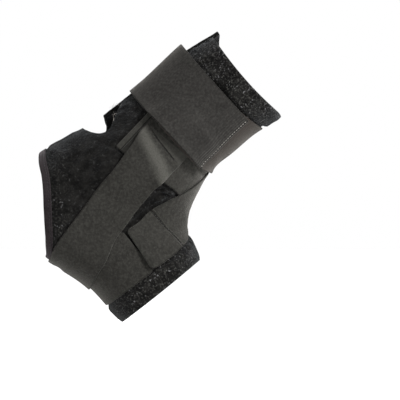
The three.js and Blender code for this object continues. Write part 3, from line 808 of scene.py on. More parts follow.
def new_object(name, points, faces, materials, uv=None, slots=None):
    """A smooth mesh object from points in metres; its faces are turned outwards."""
    points = np.asarray(points, float)
    halves = [(face[0], *face[2:]) for face in faces if len(face) == 4]
    corners = np.array([tuple(face[:3]) for face in faces] + halves)
    a, b, c = (points[corners[:, index]] for index in range(3))
    if np.einsum("ij,ij->i", a, np.cross(b, c)).sum() < 0:
        faces = [tuple(face)[::-1] for face in faces]
    mesh = bpy.data.meshes.new(name)
    mesh.from_pydata(points.tolist(), [], [tuple(int(corner) for corner in face) for face in faces])
    for made in materials:
        mesh.materials.append(made)
    if slots is not None:
        mesh.polygons.foreach_set("material_index", np.asarray(slots, np.int32))
    mesh.polygons.foreach_set("use_smooth", np.ones(len(mesh.polygons), bool))
    if uv is not None:
        numbers = np.zeros(len(mesh.loops), np.int32)
        mesh.loops.foreach_get("vertex_index", numbers)
        layer = mesh.uv_layers.new(name="UVMap")
        layer.data.foreach_set("uv", np.asarray(uv, np.float32)[numbers].ravel())
    mesh.update()
    return linked(name, mesh)


def fine_steps(length, step, close):
    """Distances from one edge to the other, close together near both."""
    near = [value for value in close if value < length / 2 - step / 2]
    count = max(round((length - 2 * near[-1]) / step), 1)
    middle = np.linspace(near[-1], length - near[-1], count + 1)[1:-1]
    return np.array([*near, *middle, *[length - value for value in near[::-1]]])


def sheet_faces(rows, columns):
    """Quads of an upper and a lower grid that share their border."""
    upper = grid_faces(rows, columns, (False, False))
    number = np.arange(rows * columns).reshape(rows, columns)
    inner = number[1:-1, 1:-1]
    inner[:] = rows * columns + np.arange(inner.size).reshape(inner.shape)
    return [*map(tuple, upper), *map(tuple, number.ravel()[upper][:, ::-1])]


def pillow(name, band, heights, along, aside, thickness, edge, finish, from_end):
    """A closed sheet over a band, its edges rounded over the distance given by edge."""
    place = band.sample(band.places, along, aside)
    normal = unit(band.sample(band.normals, along, aside))
    height = band.sample(heights, along, aside)
    rounding = np.sqrt(1 - (1 - np.clip(edge, 0, 1)) ** 2)
    middle = height + thickness / 2
    upper = place + normal * (middle + thickness / 2 * rounding)[..., None]
    lower = place + normal * (middle - thickness / 2 * rounding)[..., None]
    points = np.vstack([upper.reshape(-1, 3), lower[1:-1, 1:-1].reshape(-1, 3)])
    flat = np.stack(np.broadcast_arrays(from_end, aside), -1) * MM
    uv = np.vstack([flat.reshape(-1, 2), flat[1:-1, 1:-1].reshape(-1, 2)])
    return new_object(name, turned(points), sheet_faces(*edge.shape), [finish], uv)


def corner_loss(distance, radius):
    """How much narrower a strap is at a distance from its end, for a rounded corner."""
    near = np.clip(distance, 0, radius)
    return radius - np.sqrt(np.maximum(radius ** 2 - (radius - near) ** 2, 0))


def close_steps(count):
    """The first distances from an edge, close together where it is rounded."""
    soft = bpy.context.scene.brace_sizes.edge_round / MM
    return [0, 0.12 * soft, 0.45 * soft, soft, 1.8, 2.8, 4.0][:count]


def across(band, close, loss):
    """Shares, distances aside and distances from the nearer side across a strap."""
    share = fine_steps(band.width, ACROSS_STEP, close)[None] / band.width * 2 - 1
    half = band.width / 2 - loss
    return share, share * half, (1 - np.abs(share)) * half


def strap(name, finish, start_radius=0.0, end_radius=0.0, visible_end="end"):
    """One strap as a closed sheet of webbing with soft edges, drawn in where it has a waist."""
    sizes = bpy.context.scene.brace_sizes
    band, heights = layout().straps[name]
    along = fine_steps(band.length, ALONG_STEP, close_steps(7))[:, None]
    from_end = band.length - along
    nearer = np.minimum(along, from_end)
    loss = corner_loss(along, start_radius) + corner_loss(from_end, end_radius)
    share, aside, sides = across(band, close_steps(5), loss)
    for side, start, full, ease, end, depth in WAISTS.get(name, ()):
        trim = depth * smooth(along, start, full) * (1 - smooth(along, ease, end))
        aside = aside - side * trim * np.clip(side * share, 0, 1)
    edge = np.minimum(nearer, sides) / (sizes.edge_round / MM)
    shown = {"start": along, "end": from_end, "both": nearer}[visible_end]
    return pillow(name + "_cloth", band, heights, along, aside, sizes.webbing / MM, edge, finish, shown), band


def tab(name, finish, radius, reach, bow, thin):
    """A sewn end tab, thick at the strap's end and thin at its bowed inner edge."""
    sizes = bpy.context.scene.brace_sizes
    band, heights, at_start = layout().tabs[name]
    from_end = fine_steps(TAB_SHARE, 1.3, close_steps(6))[:, None]
    share, aside, sides = across(band, close_steps(6), corner_loss(from_end, radius))
    depth = from_end / TAB_SHARE * (reach - bow * share ** 2)
    along = depth if at_start else band.length - depth
    for side, *_, draw_in in WAISTS.get(name.replace("tab", "strap"), ()):
        aside = aside - side * draw_in * np.clip(side * share, 0, 1) * (1 - smooth(depth, 10, 45))
    edge = np.minimum(np.minimum(from_end, TAB_SHARE - from_end), sides) / (sizes.edge_round / MM)
    thickness = sizes.tab / MM * (1 - (1 - thin) * smooth(from_end / TAB_SHARE, 0.25, 0.9))
    return pillow(name + "_cloth", band, heights, along, aside, thickness, edge, finish, from_end)


def clip(fields, values, triangles):
    """Cuts triangles where the values are 0, keeps what is above, and adds points on the cut."""
    sign = np.sign(values)[triangles]
    some = (sign > 0).any(1)
    whole = triangles[some & (sign >= 0).all(1)]
    cut, made, new = {}, [], []
    for triangle in triangles[some & (sign < 0).any(1)].tolist():
        loop = []
        for start, end in zip(triangle, triangle[1:] + triangle[:1]):
            if values[start] >= 0:
                loop.append(start)
            if values[start] * values[end] < 0:
                low, high = min(start, end), max(start, end)
                if (low, high) not in cut:
                    cut[low, high] = len(values) + len(made)
                    made.append((low, high, values[low] / (values[low] - values[high])))
                loop.append(cut[low, high])
        new += [(loop[0], loop[index], loop[index + 1]) for index in range(1, len(loop) - 1)]
    starts, ends, shares = (np.array(column) for column in zip(*made))
    grown = [np.vstack([field, field[starts] + (field[ends] - field[starts]) * shares[:, None]])
             for field in fields]
    return grown, np.vstack([whole, np.array(new)])


def fold_rise(points):
    """The rise of the free cloth's folds at places on the form."""
    rise = np.zeros(points.shape[:-1])
    for height, half, route in FOLDS:
        line = lay_line(route, FOLD_STEP)[0]
        ends = np.minimum(*(np.linalg.norm(points - end, axis=-1) for end in line[[0, -1]]))
        rise += height * np.exp(-(distance_to_line(points, line) / half) ** 2) * smooth(ends, 0, 5)
    return rise


def edge_distance(points):
    """Distance of places to the nearest edge of a strap that presses on the sleeve."""
    edges = layout().strap_edges()
    flat = points.reshape(-1, 3)
    squares = (edges ** 2).sum(1)
    least = [np.sqrt(np.maximum(((part ** 2).sum(1)[:, None] + squares - 2 * part @ edges.T).min(1), 0))
             for part in np.array_split(flat, max(len(flat) // 2000, 1))]
    return np.concatenate(least).reshape(points.shape[:-1])


def pucker(sizes):
    """Lets the cloth between the straps buckle a little; its rise over stations and angles."""
    stations, angles = np.meshgrid(np.linspace(0, LAST, PUCKER_ROWS), np.arange(0, 360, PUCKER_DEGREES),
                                   indexing="ij")
    plan = layout()
    points = form_point(stations, angles)
    cloth_side = plan.openings.cloth(points, stations, angles)
    press = plan.cover.at(plan.cover.press, stations, angles)
    held = (press > 0.3) | (cloth_side < 3) | (stations < 0.12) | (stations > LAST - 0.12)
    corners = grid_faces(*stations.shape, (False, True))
    whole = (cloth_side.ravel()[corners] > -3).all(1)
    mesh = bpy.data.meshes.new("pucker")
    start = (points / PUCKER_SCALE).reshape(-1, 3)
    mesh.from_pydata(start.tolist(), [], corners[whole].tolist())
    loose = linked("pucker", mesh)
    group = loose.vertex_groups.new(name="held")
    group.add(np.flatnonzero(held.ravel()).tolist(), 1.0, "REPLACE")
    cloth = loose.modifiers.new("cloth", "CLOTH")
    settings = cloth.settings
    settings.quality = 6
    settings.mass = 0.3
    settings.tension_stiffness = settings.compression_stiffness = 25
    settings.shear_stiffness = 10
    settings.bending_stiffness = 0.8
    settings.shrink_min = -sizes.fullness
    settings.vertex_group_mass = "held"
    settings.effector_weights.gravity = 0
    cloth.collision_settings.use_collision = False
    cloth.collision_settings.use_self_collision = False
    for number in range(1, PUCKER_FRAMES + 1):
        bpy.context.scene.frame_set(number)
    evaluated = loose.evaluated_get(bpy.context.evaluated_depsgraph_get())
    moved = np.zeros(start.size)
    evaluated.data.vertices.foreach_get("co", moved)
    bpy.context.scene.frame_set(1)
    shift = (moved.reshape(-1, 3) - start) * PUCKER_SCALE
    rise = (shift * form_normal(stations, angles).reshape(-1, 3)).sum(1).reshape(stations.shape)
    bpy.data.objects.remove(loose)
    most = sizes.pucker / MM
    return np.clip(np.nan_to_num(rise), -0.4 * most, most)


def sleeve_grid():
    """Stations, angles, places, normals and distance to the openings, over the whole sleeve."""
    levels, angles = np.meshgrid(np.linspace(0, LAST, SLEEVE_ROWS),
                                 np.arange(0, 360, 360 / SLEEVE_COLUMNS), indexing="ij")
    stations = rim_station(levels, angles)
    cloth = layout().openings.cloth
    for _ in range(2):
        points = form_point(stations, angles)
        off = cloth(points, stations, angles)
        slopes = []
        for station, angle, step in ((stations + 0.01, angles, 0.01), (stations, angles + 0.1, 0.1)):
            moved = form_point(station, angle)
            reach = np.linalg.norm(moved - points, axis=-1) / step
            slopes.append(((cloth(moved, station, angle) - off) / step / reach, reach))
        square = np.maximum(sum(slope ** 2 for slope, _ in slopes), 0.3)
        stations, angles = (
            value - np.where(np.abs(off) < SLEEVE_SNAP, off * slope / square / reach, 0)
            for value, (slope, reach) in zip((stations, angles), slopes))
    points = form_point(stations, angles)
    off = cloth(points, stations, angles)
    off = np.where(np.abs(off) < 0.05, 0.0, off)
    return levels, stations, angles, points, form_normal(stations, angles), off


def rim_station(level, angle):
    """The station of a level once the upper rim has its dip and its flap."""
    side = np.sin(np.radians(angle)) ** 2
    span = (FORM[0][1] - FORM[1][1]) * LEG_RISE
    rim = (RIM_DIP * side - FLAP_RISE * in_flap(angle)) / span
    return level + rim * (1 - smooth(level, 0, RIM_DEPTH))


def sleeve_rise(levels, stations, angles, points):
    """How far the sleeve's outer face stands off the form."""
    sizes = bpy.context.scene.brace_sizes
    plan = layout()
    sink, swell = plan.sink, 0.45
    under = smooth(plan.cover.at(plan.cover.press, stations, angles), 0.35, 0.65)
    gap = edge_distance(points)
    beside = (sink + swell) * smooth(gap, 0.9, 3.6) - sink - swell * smooth(gap, 3.6, 10)
    rise = pucker(sizes)
    waves = grid_value(rise, stations / LAST * (PUCKER_ROWS - 1), np.mod(angles, 360) / PUCKER_DEGREES,
                       around=True)
    rough = 0.16 * np.sin(stations * 5.1 + angles * 0.11) * np.sin(angles * 0.23 - stations * 3.3)
    free = (1 - under) * smooth(gap, 1.2, 3.5)
    loose = free * (waves + fold_rise(points) * sizes.folds + rough)
    cloth = np.where(under > 0.5, -sink, beside * (1 - under) - sink * under) + loose
    heel_off = plan.openings.off(plan.openings.heel, points, stations, angles)
    taped = smooth(heel_off, BINDING_WIDTH + 0.6, BINDING_WIDTH + 4)
    return cloth * taped - 0.15 * (1 - taped) + flap_proud(levels) * in_flap(angles)


def outward_at(border, points, triangles):
    """At every point of a border, the direction that leads out of the triangles in their plane."""
    a, b, c = (points[triangles[:, corner]] for corner in range(3))
    normal, outward = np.zeros(points.shape), np.zeros(points.shape)
    for corner in range(3):
        np.add.at(normal, triangles[:, corner], np.cross(b - a, c - a))
    span = points[border[:, 1]] - points[border[:, 0]]
    for end in range(2):
        np.add.at(outward, border[:, end], np.cross(span, unit(normal[border[:, end]])))
    return unit(outward)


def add_sleeve():
    """The foam sleeve as one closed shell with its openings cut and its edges rounded."""
    colour = bpy.context.scene.brace_colours.sleeve
    levels, stations, angles, points, normals, off = sleeve_grid()
    rise = sleeve_rise(levels, stations, angles, points)
    corners = grid_faces(*stations.shape, (False, True))
    triangles = np.vstack([corners[:, :3], corners[:, [0, 2, 3]]])
    flap = flap_proud(levels) * in_flap(angles)
    outer = points + normals * rise[..., None]
    inner = points + normals * (flap - WALL)[..., None]
    (outer, inner), triangles = clip([outer.reshape(-1, 3), inner.reshape(-1, 3)], off.ravel(), triangles)
    used, triangles = np.unique(triangles, return_inverse=True)
    triangles = triangles.reshape(-1, 3)
    outer, inner = outer[used], inner[used]
    known = {(start, end) for row in triangles.tolist() for start, end in zip(row, row[1:] + row[:1])}
    border = np.array([edge for edge in sorted(known) if edge[::-1] not in known])
    outward = outward_at(border, outer, triangles)
    rim, count = np.unique(border), len(outer)
    rings = [outer[rim] * (1 - share) + inner[rim] * share + outward[rim] * bulge
             for share, bulge in ((0.12, 0.28), (0.5, 0.42), (0.88, 0.28))]
    numbers = 2 * count + np.arange(len(rings) * len(rim)).reshape(len(rings), -1)
    chain = [dict(zip(rim.tolist(), ring.tolist())) for ring in (rim, *numbers, rim + count)]
    faces = [*triangles.tolist(), *(triangles[:, ::-1] + count).tolist()]
    slots = [0] * len(triangles) + [1] * len(triangles)
    for start, end in border.tolist():
        for near, far in zip(chain, chain[1:]):
            faces.append((near[end], near[start], far[start], far[end]))
            slots.append(0)
    finishes = [material("brushed_loop_cloth", pile_finish, colour),
                material("knit_lining", lining_finish, colour)]
    return new_object("sleeve_cloth", turned(np.vstack([outer, inner, *rings])), faces, finishes, slots=slots)


def tape_profile(tape):
    """The folded tape's outline round its wall, as (distance from the edge, height) marks."""
    low, deep = TAPE_LIFT, WALL + 0.25
    outside = [(5.5, 0.3), (5.35, 0.8), (4.9, 1.0), (4.2, 0.92), (3.6, 0.66), (3.0, 0.95), (1.8, 1.12),
               (0.6, 1.05), (-0.35, 0.75)]
    nose = [(-0.85, -0.35), (-1.05, -WALL / 2), (-0.85, 0.1 - WALL)]
    inside = [(-0.35, 0.55), (0.6, 0.9), (3.0, 0.95), (4.9, 0.9), (5.5, 0.5), (5.4, 0), (3.0, 0), (0.6, 0)]
    hollow = [(-0.2, 0.1 - deep), (-0.48, -WALL / 2), (-0.3, -0.1), (0.3, low - 0.05), (1.8, low),
              (3.6, low), (5.2, low)]
    return [*((aside, low + share * tape) for aside, share in outside), *nose,
            *((aside, -deep - share * tape) for aside, share in inside), *hollow]


def add_binding():
    """The stretch tape folded over the edge of the heel opening."""
    scene, steps = bpy.context.scene, 6
    openings = layout().openings
    line, normals, _, _ = openings.heel
    covered, away = openings.from_heel(BINDING_WIDTH / steps, steps)
    grounds = np.stack(covered, 1)
    ground_normals = on_form(grounds)[1]
    ring = []
    for aside, height in tape_profile(scene.brace_sizes.tape / MM):
        if aside < 0:
            ring.append(line + away * aside + normals * height)
        else:
            reach = aside / (BINDING_WIDTH / steps)
            index = min(int(reach), steps - 1)
            share = reach - index
            place, normal = (field[:, index] * (1 - share) + field[:, index + 1] * share
                             for field in (grounds, ground_normals))
            ring.append(place + unit(normal) * height)
    points = np.stack(ring, 1)
    length = np.linalg.norm(np.roll(line, -1, 0) - line, axis=1).cumsum()
    uv = np.stack(np.meshgrid(length, np.arange(len(ring)) * 0.8, indexing="ij"), -1).reshape(-1, 2) * MM
    finish = material("binding_tape_cloth", tape_finish, scene.brace_colours.binding)
    faces = grid_faces(*points.shape[:2], (True, True)).tolist()
    return new_object("heel_binding_tape", turned(points).reshape(-1, 3), faces, [finish], uv)


def stitch_tree():
    """Geometry Nodes: short rounded threads along every line of a mesh."""
    tree = bpy.data.node_groups.new("stitch_row", "GeometryNodeTree")
    sockets = {}
    for name, kind, value in (("Lines", "Geometry", None), ("Pitch", "Float", 0.002),
                              ("Stitch", "Float", 0.0014), ("Thread", "Float", 0.0004),
                              ("Waver", "Float", 0.12), ("Seed", "Int", 5), ("Finish", "Material", None)):
        made = tree.interface.new_socket(name=name, in_out="INPUT", socket_type="NodeSocket" + kind)
        if value is not None:
            made.default_value = value
        sockets[name] = made.identifier
    tree.interface.new_socket(name="Geometry", in_out="OUTPUT", socket_type="NodeSocketGeometry")

    def node(kind, settings=None, output=0, **values):
        outputs = add_node(tree, kind, settings, values).outputs
        return outputs[output] if len(outputs) else None

    given = add_node(tree, "NodeGroupInput", None, {}).outputs
    curve = node("GeometryNodeMeshToCurve", Mesh=given["Lines"])
    even = node("GeometryNodeResampleCurve", {"mode": "LENGTH"}, Curve=curve, Length=given["Pitch"])
    turn = node("FunctionNodeAlignRotationToVector", {"axis": "X"}, Vector=node("GeometryNodeInputTangent"))
    least = node("ShaderNodeMath", {"operation": "MULTIPLY"}, _0=given["Waver"], _1=-1)
    stray = node("FunctionNodeRandomValue", {"data_type": "FLOAT"}, output=1, _2=least,
                 _3=given["Waver"], Seed=given["Seed"])
    wobble = node("FunctionNodeRotateRotation", {"rotation_space": "LOCAL"}, Rotation=turn,
                  _1=node("ShaderNodeCombineXYZ", Y=stray, Z=stray))
    bead = node("GeometryNodeMeshUVSphere", Segments=7, Rings=5, Radius=0.5)
    size = node("ShaderNodeCombineXYZ", X=given["Stitch"], Y=given["Thread"], Z=given["Thread"])
    shaped = node("GeometryNodeTransform", Geometry=bead, Scale=size)
    placed = node("GeometryNodeInstanceOnPoints", Points=even, Instance=shaped, Rotation=wobble)
    real = node("GeometryNodeRealizeInstances", Geometry=placed)
    rounded = node("GeometryNodeSetShadeSmooth", Geometry=real)
    node("NodeGroupOutput", _0=node("GeometryNodeSetMaterial", Geometry=rounded, Material=given["Finish"]))
    return tree, sockets


def stitch_rows(name, lines, finish, pitch, length, thread, waver=0.12):
    """Rows of stitches along lines of points in metres, as one plain mesh."""
    if "stitches" not in _made:
        _made["stitches"] = stitch_tree()
    tree, sockets = _made["stitches"]
    points, edges = [], []
    for line in lines:
        start = len(points)
        points.extend(line.tolist())
        edges.extend((index, index + 1) for index in range(start, len(points) - 1))
    mesh = bpy.data.meshes.new(name + "_lines")
    mesh.from_pydata(points, edges, [])
    holder = linked(name + "_lines", mesh)
    rows = holder.modifiers.new("rows", "NODES")
    rows.node_group = tree
    for socket, value in (("Pitch", pitch), ("Stitch", length), ("Thread", thread),
                          ("Waver", waver), ("Finish", finish)):
        rows[sockets[socket]] = value
    bpy.context.view_layer.update()
    graph = bpy.context.evaluated_depsgraph_get()
    made = bpy.data.meshes.new_from_object(holder.evaluated_get(graph), depsgraph=graph)
    bpy.data.objects.remove(holder)
    if not made.polygons:
        raise RuntimeError(name + " has no stitches")
    made.name = name
    return linked(name, made)


def on_strap(name, marks, lift=0.0, source="straps"):
    """A line on top of a strap through (distance from its start, distance aside) marks."""
    sizes = bpy.context.scene.brace_sizes
    band, heights = getattr(layout(), source)[name][:2]
    thickness = (sizes.webbing if source == "straps" else sizes.tab) / MM
    marks = np.array(marks, float)
    share = np.linspace(0, len(marks) - 1, 24 * (len(marks) - 1) + 1)
    along, aside = (np.interp(share, np.arange(len(marks)), column) for column in marks.T)
    place = band.sample(band.places, along, aside)
    normal = unit(band.sample(band.normals, along, aside))
    height = band.sample(heights, along, aside) + thickness + lift
    return turned(place + normal * height[:, None])


# Settings.

def length_setting(name, description, default, least, most, precision=4):
    return FloatProperty(name=name, description=description, default=default, min=least, max=most,
                         precision=precision, unit="LENGTH")


class BraceSizes(bpy.types.PropertyGroup):
    """Sizes of the cloth that a maker would change."""

    webbing: length_setting("Webbing", "Thickness of the straps", 0.0014, 0.0008, 0.003)
    tab: length_setting("End tab", "Thickness of a sewn end tab", 0.0011, 0.0005, 0.003)
    tape: length_setting("Tape", "Thickness of the tape round the heel opening", 0.0006, 0.0003, 0.002)
    edge_round: length_setting("Edge", "How far in an edge of webbing is rounded", 0.0009, 0.0003, 0.003)
    layer_gap: length_setting("Layer gap", "Clearance between two layers", 0.00025, 0.0001, 0.001, 5)
    strap_sink: length_setting("Sink", "How far a strap presses the foam down", 0.0005, 0.0, 0.0015)
    pucker: length_setting("Pucker", "The most that free cloth may buckle", 0.0011, 0.0, 0.003)
    stitch: length_setting("Stitch", "Distance from one stitch to the next", 0.0021, 0.001, 0.006)
    fullness: FloatProperty(name="Fullness", description="Spare share of the free cloth's length",
                            default=0.05, min=0.0, max=0.2)
    folds: FloatProperty(name="Folds", description="Depth of the pressed folds, as a factor",
                         default=1.5, min=0.0, max=3.0)


def colour_setting(name, description, default):
    return FloatVectorProperty(name=name, description=description, default=default,
                               subtype="COLOR", size=3, min=0, max=1)


class BraceColours(bpy.types.PropertyGroup):
    """Colours of the cloths and threads."""

    sleeve: colour_setting("Sleeve", "Ground of the brushed sleeve cloth", (0.0040, 0.0039, 0.0036))
    binding: colour_setting("Binding", "Tape round the heel opening", (0.0095, 0.0078, 0.0084))
    strap: colour_setting("Strap", "Webbing of the lower straps", (0.0118, 0.0116, 0.0103))
    top: colour_setting("Top strap", "Elastic of the top strap", (0.0114, 0.0110, 0.0102))
    tabs: colour_setting("Tabs", "Sewn end tabs", (0.0118, 0.0116, 0.0103))
    thread: colour_setting("Thread", "Stitches of the tabs and the tape", (0.006, 0.006, 0.006))
    light_thread: colour_setting("Light thread", "Stitch row of the top strap", (0.17, 0.16, 0.145))


def settle_piece(piece, nodes):
    """Ties a finished piece to the frame."""
    if nodes:
        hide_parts(*nodes)
    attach(piece, "root")


# Operators, one for each piece or group.

class BuildSleeve(bpy.types.Operator):
    """Foam sleeve with its folds and openings"""

    bl_idname = "brace.build_sleeve"
    bl_label = "Sleeve"

    def execute(self, context):
        sleeve = add_sleeve()
        settle_piece(sleeve, ["sleeve"])
        return {"FINISHED"}


class BuildBinding(bpy.types.Operator):
    """Tape folded over the edge of the heel opening"""

    bl_idname = "brace.build_binding"
    bl_label = "Heel binding"

    def execute(self, context):
        binding = add_binding()
        settle_piece(binding, ["heel_binding"])
        return {"FINISHED"}


class BuildStraps(bpy.types.Operator):
    """The three narrow straps round the instep, the ankle and the sole side"""

    bl_idname = "brace.build_straps"
    bl_label = "Lower straps"

    def execute(self, context):
        colour = context.scene.brace_colours.strap
        plain = material("brushed_webbing", webbing_finish, colour, seam=0.0050, dark_reach=0.010)
        # The stirrup's webbing carries a painted highlight on its billow below each end.
        raised = material("raised_webbing", webbing_finish, colour, seam=HEM_SEAM * MM, slant=HEM_SLANT,
                          seam_half=0.0125, hem_light=0.5, raised=0.8)
        for name, finish, start, end, shown in (("figure_eight_strap", plain, 1.5, 3.0, "start"),
                                                ("instep_strap", plain, 1.5, 4.0, "end"),
                                                ("stirrup_strap", raised, 3.0, 3.0, "both")):
            made, band = strap(name, finish, start, end, shown)
            settle_piece(made, [name])
        return {"FINISHED"}


class BuildTopStrap(bpy.types.Operator):
    """The wide elastic strap round the upper end"""

    bl_idname = "brace.build_top_strap"
    bl_label = "Top strap"

    def execute(self, context):
        finish = material("ribbed_elastic", webbing_finish, context.scene.brace_colours.top,
                          seam=TOP_SEAM * MM, hem_light=0.1, rib=0.0019, rib_reach=0.024,
                          half=TOP_STRAP_WIDTH / 2 * MM)
        made, band = strap("top_strap", finish, 1.5, 1.5, "end")
        settle_piece(made, ["top_strap"])
        return {"FINISHED"}


class BuildTabs(bpy.types.Operator):
    """The sewn tabs at the ends of the straps"""

    bl_idname = "brace.build_tabs"
    bl_label = "End tabs"

    def execute(self, context):
        colours = context.scene.brace_colours
        brushed = material("brushed_tab", webbing_finish, colours.tabs, seam=TAB_SEAM * MM, hem_light=0.0)
        plain = material("tab_webbing", webbing_finish, colours.strap, seam=0.0050)
        stirrup = (plain, 2.5, STIRRUP_TAB_REACH, STIRRUP_TAB_BOW, 0.12, "stirrup_strap_cloth")
        for name, cloth, radius, reach, bow, thin, under in (
                ("instep_tab", brushed, 4.0, INSTEP_TAB_REACH, INSTEP_TAB_BOW, 0.3, "instep_strap_cloth"),
                ("stirrup_tab_outer", *stirrup), ("stirrup_tab_inner", *stirrup)):
            made = tab(name, cloth, radius, reach, bow, thin)
            settle_piece(made, [name])
            reach * MM
        return {"FINISHED"}


class BuildStitches(bpy.types.Operator):
    """Stitch rows of the top strap, the tabs, the straps' ends and the tape"""

    bl_idname = "brace.build_stitches"
    bl_label = "Stitches"

    def execute(self, context):
        colours, sizes = context.scene.brace_colours, context.scene.brace_sizes
        light = material("light_thread", thread_finish, colours.light_thread)
        dark = material("dark_thread", thread_finish, colours.thread)
        plan, pitch = layout(), sizes.stitch
        half, seam = TOP_STRAP_WIDTH / 2 - 2.5, plan.straps["top_strap"][0].length - TOP_SEAM
        top = [on_strap("top_strap", [(seam, -half), (seam, half)], 0.12)]
        half, length = STRAP_WIDTH / 2 - 1.5, plan.tabs["instep_tab"][0].length
        bowed = [(length - TAB_SEAM / TAB_SHARE * (INSTEP_TAB_REACH - INSTEP_TAB_BOW * (aside / half) ** 2),
                  aside) for aside in np.linspace(-half, half - 2.2, 9)]
        hem = [(HEM_SEAM - HEM_SLANT * aside, aside) for aside in (-12.5, 10.0)]
        length = plan.straps["stirrup_strap"][0].length
        rows = [on_strap("instep_tab", bowed, -0.25, "tabs")]
        for name, marks in (("stirrup_strap", hem),
                            ("stirrup_strap", [(length - along, aside) for along, aside in hem]),
                            ("figure_eight_strap", [(EIGHT_SEAM, -half), (EIGHT_SEAM, half)]),
                            ("instep_strap", [(INSTEP_SEAM, -half), (INSTEP_SEAM, half)])):
            rows.append(on_strap(name, marks, -0.1))
        seam = plan.openings.from_heel(1.2, 3)[0][3]
        line = turned(seam + on_form(seam)[1] * (TAPE_LIFT + 0.75 * sizes.tape / MM))
        tape = [np.vstack([line, line[:1]])]
        for name, lines, finish, spacing, stitch, thread, slot in (
                ("top_strap_stitches", top, light, 1.0, 0.56, 0.00055, "top_elastic"),
                ("strap_stitches", rows, dark, 1.15, 0.8, 0.00036, "tab_cloth"),
                ("binding_stitches", tape, dark, 1.1, 0.75, 0.00034, "binding_tape")):
            made = stitch_rows(name, lines, finish, pitch * spacing, pitch * stitch, thread)
            settle_piece(made, [])
        return {"FINISHED"}


def loose_threads(name, starts, normals, headings, finish):
    """Fine curled threads that have come loose from an edge."""
    draw = np.random.default_rng(11)
    parts = 6
    points, faces = [], []
    for start, normal, heading in zip(starts, normals, headings):
        length = draw.uniform(2.5, 6.0)
        lean = unit(heading + normal * draw.uniform(0.25, 0.9) + draw.normal(0, 0.35, 3))
        curl = draw.normal(0, 0.5, 3)
        place, first = start, len(points)
        for step in range(parts + 1):
            direction = unit(lean + curl * step / parts)
            side = unit(np.cross(direction, normal))
            over = np.cross(direction, side)
            thick = 0.09 * (1 - 0.5 * step / parts)
            points += [place + thick * vector for vector in (side, over, -side, -over)]
            place = place + direction * length / parts
        for base in range(first, first + 4 * parts, 4):
            faces += [(base + k, base + (k + 1) % 4, base + 4 + (k + 1) % 4, base + 4 + k) for k in range(4)]
        faces += [(first + 3, first + 2, first + 1, first), tuple(first + 4 * parts + k for k in range(4))]
    return new_object(name, turned(np.array(points)), faces, [finish])


class BuildFrays(bpy.types.Operator):
    """Loose threads where the cut edge above the heel opening has frayed"""

    bl_idname = "brace.build_frays"
    bl_label = "Loose threads"

    def execute(self, context):
        line, normals, station, angle = layout().openings.back
        worn = np.flatnonzero((station < 3.62) & (from_front(angle) > 138))
        draw, count = np.random.default_rng(4), 16
        chosen = draw.choice(worn, count)
        place = line[chosen] + normals[chosen] * draw.uniform(-1.2, 0.2, count)[:, None]
        heading = unit(np.gradient(line, axis=0))[chosen] * draw.choice([-1, 1], count)[:, None]
        finish = material("light_thread", thread_finish, context.scene.brace_colours.light_thread)
        made = loose_threads("frayed_threads", place, normals[chosen], heading, finish)
        settle_piece(made, [])
        return {"FINISHED"}


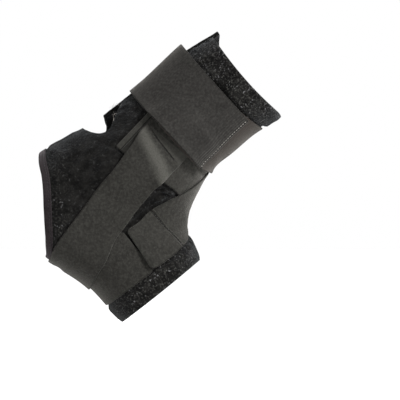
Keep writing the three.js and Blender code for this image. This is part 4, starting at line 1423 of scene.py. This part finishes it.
class BuildStage(bpy.types.Operator):
    """Pale floor, soft lights and the camera of the photograph"""

    bl_idname = "brace.build_stage"
    bl_label = "Stage"

    def execute(self, context):
        scene = context.scene
        count, radius = 96, 9.0
        turns = np.linspace(0, math.tau, count, endpoint=False)
        points = [(radius * math.cos(turn), radius * math.sin(turn), -0.15) for turn in turns]
        mesh = bpy.data.meshes.new("floor")
        mesh.from_pydata(points, [], [tuple(range(count))])
        mesh.materials.append(material("pale_floor", floor_finish, (0.93, 0.93, 0.93)))
        linked("floor", mesh)

        world = bpy.data.worlds.new("studio")
        world.use_nodes = True
        background = world.node_tree.nodes["Background"].inputs
        background["Color"].default_value = (1.0, 1.0, 1.0, 1)
        background["Strength"].default_value = 1.0
        scene.world = world
        for name, place, size, energy in (("key", (1.45, -1.15, 1.25), 0.55, 125),
                                          ("fill", (-1.5, -1.3, 0.4), 1.4, 3),
                                          ("rim", (-0.8, 1.0, 1.2), 1.0, 3),
                                          ("back", (0.9, 1.5, 1.2), 1.2, 46)):
            light = bpy.data.lights.new(name, "AREA")
            light.shape, light.size, light.energy = "DISK", size, energy
            lamp = linked(name, light)
            lamp.location = place
            aim = Vector((0.03, 0, 0)) - Vector(place)
            lamp.rotation_euler = aim.to_track_quat("-Z", "Y").to_euler()
        sun = bpy.data.lights.new("overhead", "SUN")
        sun.energy, sun.angle = 0.5, math.radians(60)
        linked("overhead", sun)

        camera = bpy.data.cameras.new("camera")
        camera.lens, camera.sensor_width, camera.clip_end = 400, 36, 50
        eye = linked("camera", camera)
        frame_width = 0.300
        eye.location = (0.0525, -frame_width * camera.lens / camera.sensor_width, -0.01125)
        eye.rotation_euler = (math.pi / 2, 0, 0)
        scene.camera = eye
        scene.view_settings.view_transform = "Standard"
        return {"FINISHED"}


OPERATORS = (BuildStage, BuildSleeve, BuildBinding, BuildStraps, BuildTopStrap, BuildTabs, BuildStitches,
             BuildFrays)


class BracePanel(bpy.types.Panel):
    """Sizes, colours and build buttons of the brace"""

    bl_idname = "VIEW3D_PT_brace"
    bl_label = "Ankle Brace"
    bl_space_type = "VIEW_3D"
    bl_region_type = "UI"
    bl_category = "Brace"

    def draw(self, context):
        for group in (context.scene.brace_sizes, context.scene.brace_colours):
            column = self.layout.column()
            for name in group.__annotations__:
                column.prop(group, name)
        for operator in OPERATORS:
            self.layout.operator(operator.bl_idname)


CLASSES = (BraceSizes, BraceColours, *OPERATORS, BracePanel)


def register():
    for made in CLASSES:
        bpy.utils.register_class(made)
    bpy.types.Scene.brace_sizes = PointerProperty(type=BraceSizes)
    bpy.types.Scene.brace_colours = PointerProperty(type=BraceColours)


def unregister():
    del bpy.types.Scene.brace_sizes
    del bpy.types.Scene.brace_colours
    for made in reversed(CLASSES):
        bpy.utils.unregister_class(made)


def main():
    register()
    for operator in OPERATORS:
        group, name = operator.bl_idname.split(".")
        getattr(getattr(bpy.ops, group), name)()


if __name__ == "__main__":
    main()
